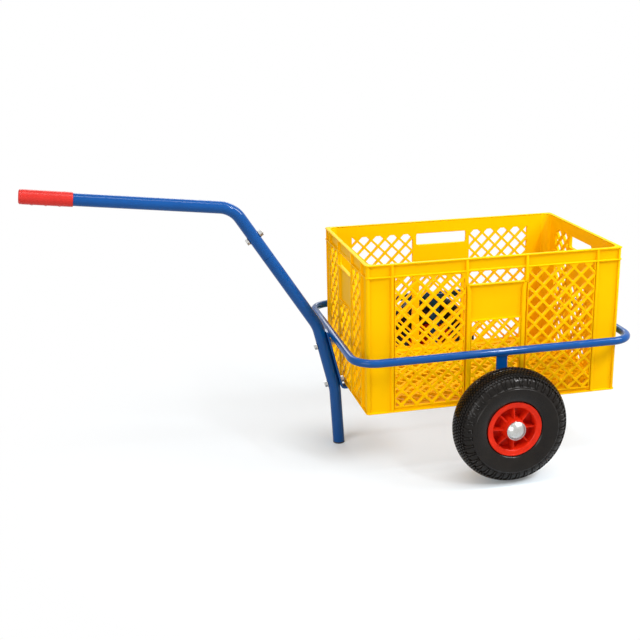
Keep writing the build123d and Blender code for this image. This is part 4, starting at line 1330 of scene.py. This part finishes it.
def make_caps():
    outline = [
        (0, 0), (CAP_RADIUS, 0), (CAP_RADIUS, CAP_FOOT),
        (CAP_RADIUS - CAP_CHAMFER, CAP_FOOT + CAP_CHAMFER),
    ]
    reach, rise = CAP_RADIUS - CAP_FLANGE, CAP_HEIGHT - CAP_FOOT - CAP_STEP
    sphere = (reach**2 + rise**2) / (2 * rise)
    for step in range(CAP_DOME_STEPS, -1, -1):
        r = reach * step / CAP_DOME_STEPS
        outline.append((r, CAP_HEIGHT - sphere + math.sqrt(sphere**2 - r**2)))
    for side in SIDES:
        low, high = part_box(f"hub_cap_{side}")
        cap = lathe("cap", outline, CAP_SEGMENTS)
        if side == "left":
            cap = moved(cap, Matrix.Rotation(math.pi, 4, "X"))
        cap = shifted(cap, (AXLE.x, high.y if side == "left" else low.y, AXLE.z))
        piece(f"axle_cap_{side}", [cap], "frame", ZINC, [f"hub_cap_{side}"], SMOOTH_WHEELS)


def finish_hidden_nodes():
    """Pieces inside the wheels keep the CAD shape and get their own finish."""
    kinds = {
        "axle_collar": ZINC, "hub_shims": ZINC, "bearing_sleeve": STEEL, "rollers": STEEL,
        "roller_cage": NYLON,
    }
    finishes = {f"{kind}_{side}": finish for side in SIDES for kind, finish in kinds.items()}
    for node, finish in {"axle": STEEL, **finishes}.items():
        NODES[node].data.materials.clear()
        NODES[node].data.materials.append(finish)


# Camera, ground and light
def place_camera():
    data = bpy.data.cameras.new("photo_camera")
    data.sensor_width = CAMERA_SENSOR
    data.lens = CAMERA_LENS
    data.shift_x = CAMERA_SHIFT
    level = Vector((-math.sin(CAMERA_YAW), math.cos(CAMERA_YAW), 0)) * math.cos(CAMERA_PITCH)
    ahead = level - Vector(Z_WAY) * math.sin(CAMERA_PITCH)
    right = Vector((math.cos(CAMERA_YAW), math.sin(CAMERA_YAW), 0))
    up = right.cross(ahead)
    across = math.cos(CAMERA_ROLL) * right + math.sin(CAMERA_ROLL) * up
    upward = -math.sin(CAMERA_ROLL) * right + math.cos(CAMERA_ROLL) * up
    turn = Matrix((across, upward, -ahead)).transposed().to_4x4()
    SCENE.camera = thing_of("photo_camera", data)
    SCENE.camera.matrix_world = Matrix.Translation(CRATE_FOOT + CAMERA_PLACE) @ turn


def seen_white(wiring):
    """One for the rays that show the background: to the camera, in mirrors and through glass."""
    path = wiring.add("LightPath").node.outputs
    shown = wiring.math("MAXIMUM", path["Is Camera Ray"], path["Is Glossy Ray"])
    return wiring.math("MAXIMUM", shown, path["Is Transmission Ray"])


def make_ground():
    """A pale floor that fades into the white background and shows the cart's shadow, painted deeper
    round the contact spots of the foot and the wheels.
    """
    corners = [(x * GROUND_HALF, y * GROUND_HALF, 0) for x, y in ((-1, -1), (1, -1), (1, 1), (-1, 1))]
    mesh = mesh_of("floor", corners, [(0, 1, 2, 3)])
    finish = Finish("pale_floor")
    seen = seen_white(finish)
    pale = finish.blend(seen, rgb(*GROUND_BOUNCE), rgb(*GROUND_SEEN))
    finish.set(base_color=pale, roughness=GROUND_ROUGHNESS, specular_ior_level=GROUND_SHINE)

    def apart(spot):
        ends = {0: finish.place, 1: spot}
        return finish.add("VectorMath", ends, out="Value", operation="DISTANCE")

    def fade(distance, first, last, low):
        """White from low at the first distance to full at the last."""
        reach = {"Value": distance, "From Min": first, "From Max": last, "To Min": low, "To Max": 1.0}
        return finish.add("MapRange", reach, interpolation_type="SMOOTHSTEP")

    far = fade(apart((FOOT_POINT.lerp(AXLE, 0.5).x, 0, 0)), *GROUND_FADE, GROUND_WHITE)
    # Painted contact shadow: less glow near the foot and the wheels' contact spots, so the shadow there
    # shows deeper
    nearest = 1.0
    for spot in [FOOT_POINT] + [Vector((AXLE.x, middle(f"tyre_{side}").y, 0)) for side in SIDES]:
        nearest = finish.math("MINIMUM", nearest, apart(spot))
    near = fade(nearest, 0.0, CONTACT_SHADE_REACH, CONTACT_SHADE_GLOW)
    glow = finish.add("Emission", {"Color": rgb(*WHITE), "Strength": 1.0})
    share = finish.math("MULTIPLY", finish.math("MULTIPLY", far, near), seen)
    mix = finish.add("MixShader", {0: share, 1: finish.shader.outputs[0], 2: glow})
    finish.feed(finish.tree.nodes["Material Output"].inputs["Surface"], mix)
    mesh.materials.append(finish.material)
    floor = thing_of("floor", mesh)


def light_studio():
    world = bpy.data.worlds.new("studio")
    SCENE.world = world
    world.use_nodes = True
    wiring = Wiring(world.node_tree)
    background = world.node_tree.nodes["Background"].inputs
    seen = seen_white(wiring)
    wiring.feed(background["Color"], wiring.blend(seen, rgb(*WARM_FILL), rgb(*WHITE)))
    strength = {"Value": seen, "To Min": WORLD_FILL, "To Max": 1.0}
    wiring.feed(background["Strength"], wiring.add("MapRange", strength))
    for name, (spot, target, size, power) in LAMPS.items():
        data = bpy.data.lights.new(name, "AREA")
        data.shape = "RECTANGLE"
        data.size, data.size_y = size
        data.energy = power
        lamp = thing_of(name, data)
        lamp.location = spot
        lamp.rotation_euler = (Vector(target) - Vector(spot)).to_track_quat("-Z", "Y").to_euler()


make_ring()
make_straps()
make_welds()
make_drawbar()
make_grip()
make_foot_plug()
make_all_bolts()
make_crate()
make_tyres()
make_rims()
make_caps()
finish_hidden_nodes()
place_camera()
make_ground()
light_studio()
SCENE.view_settings.view_transform = "Standard"
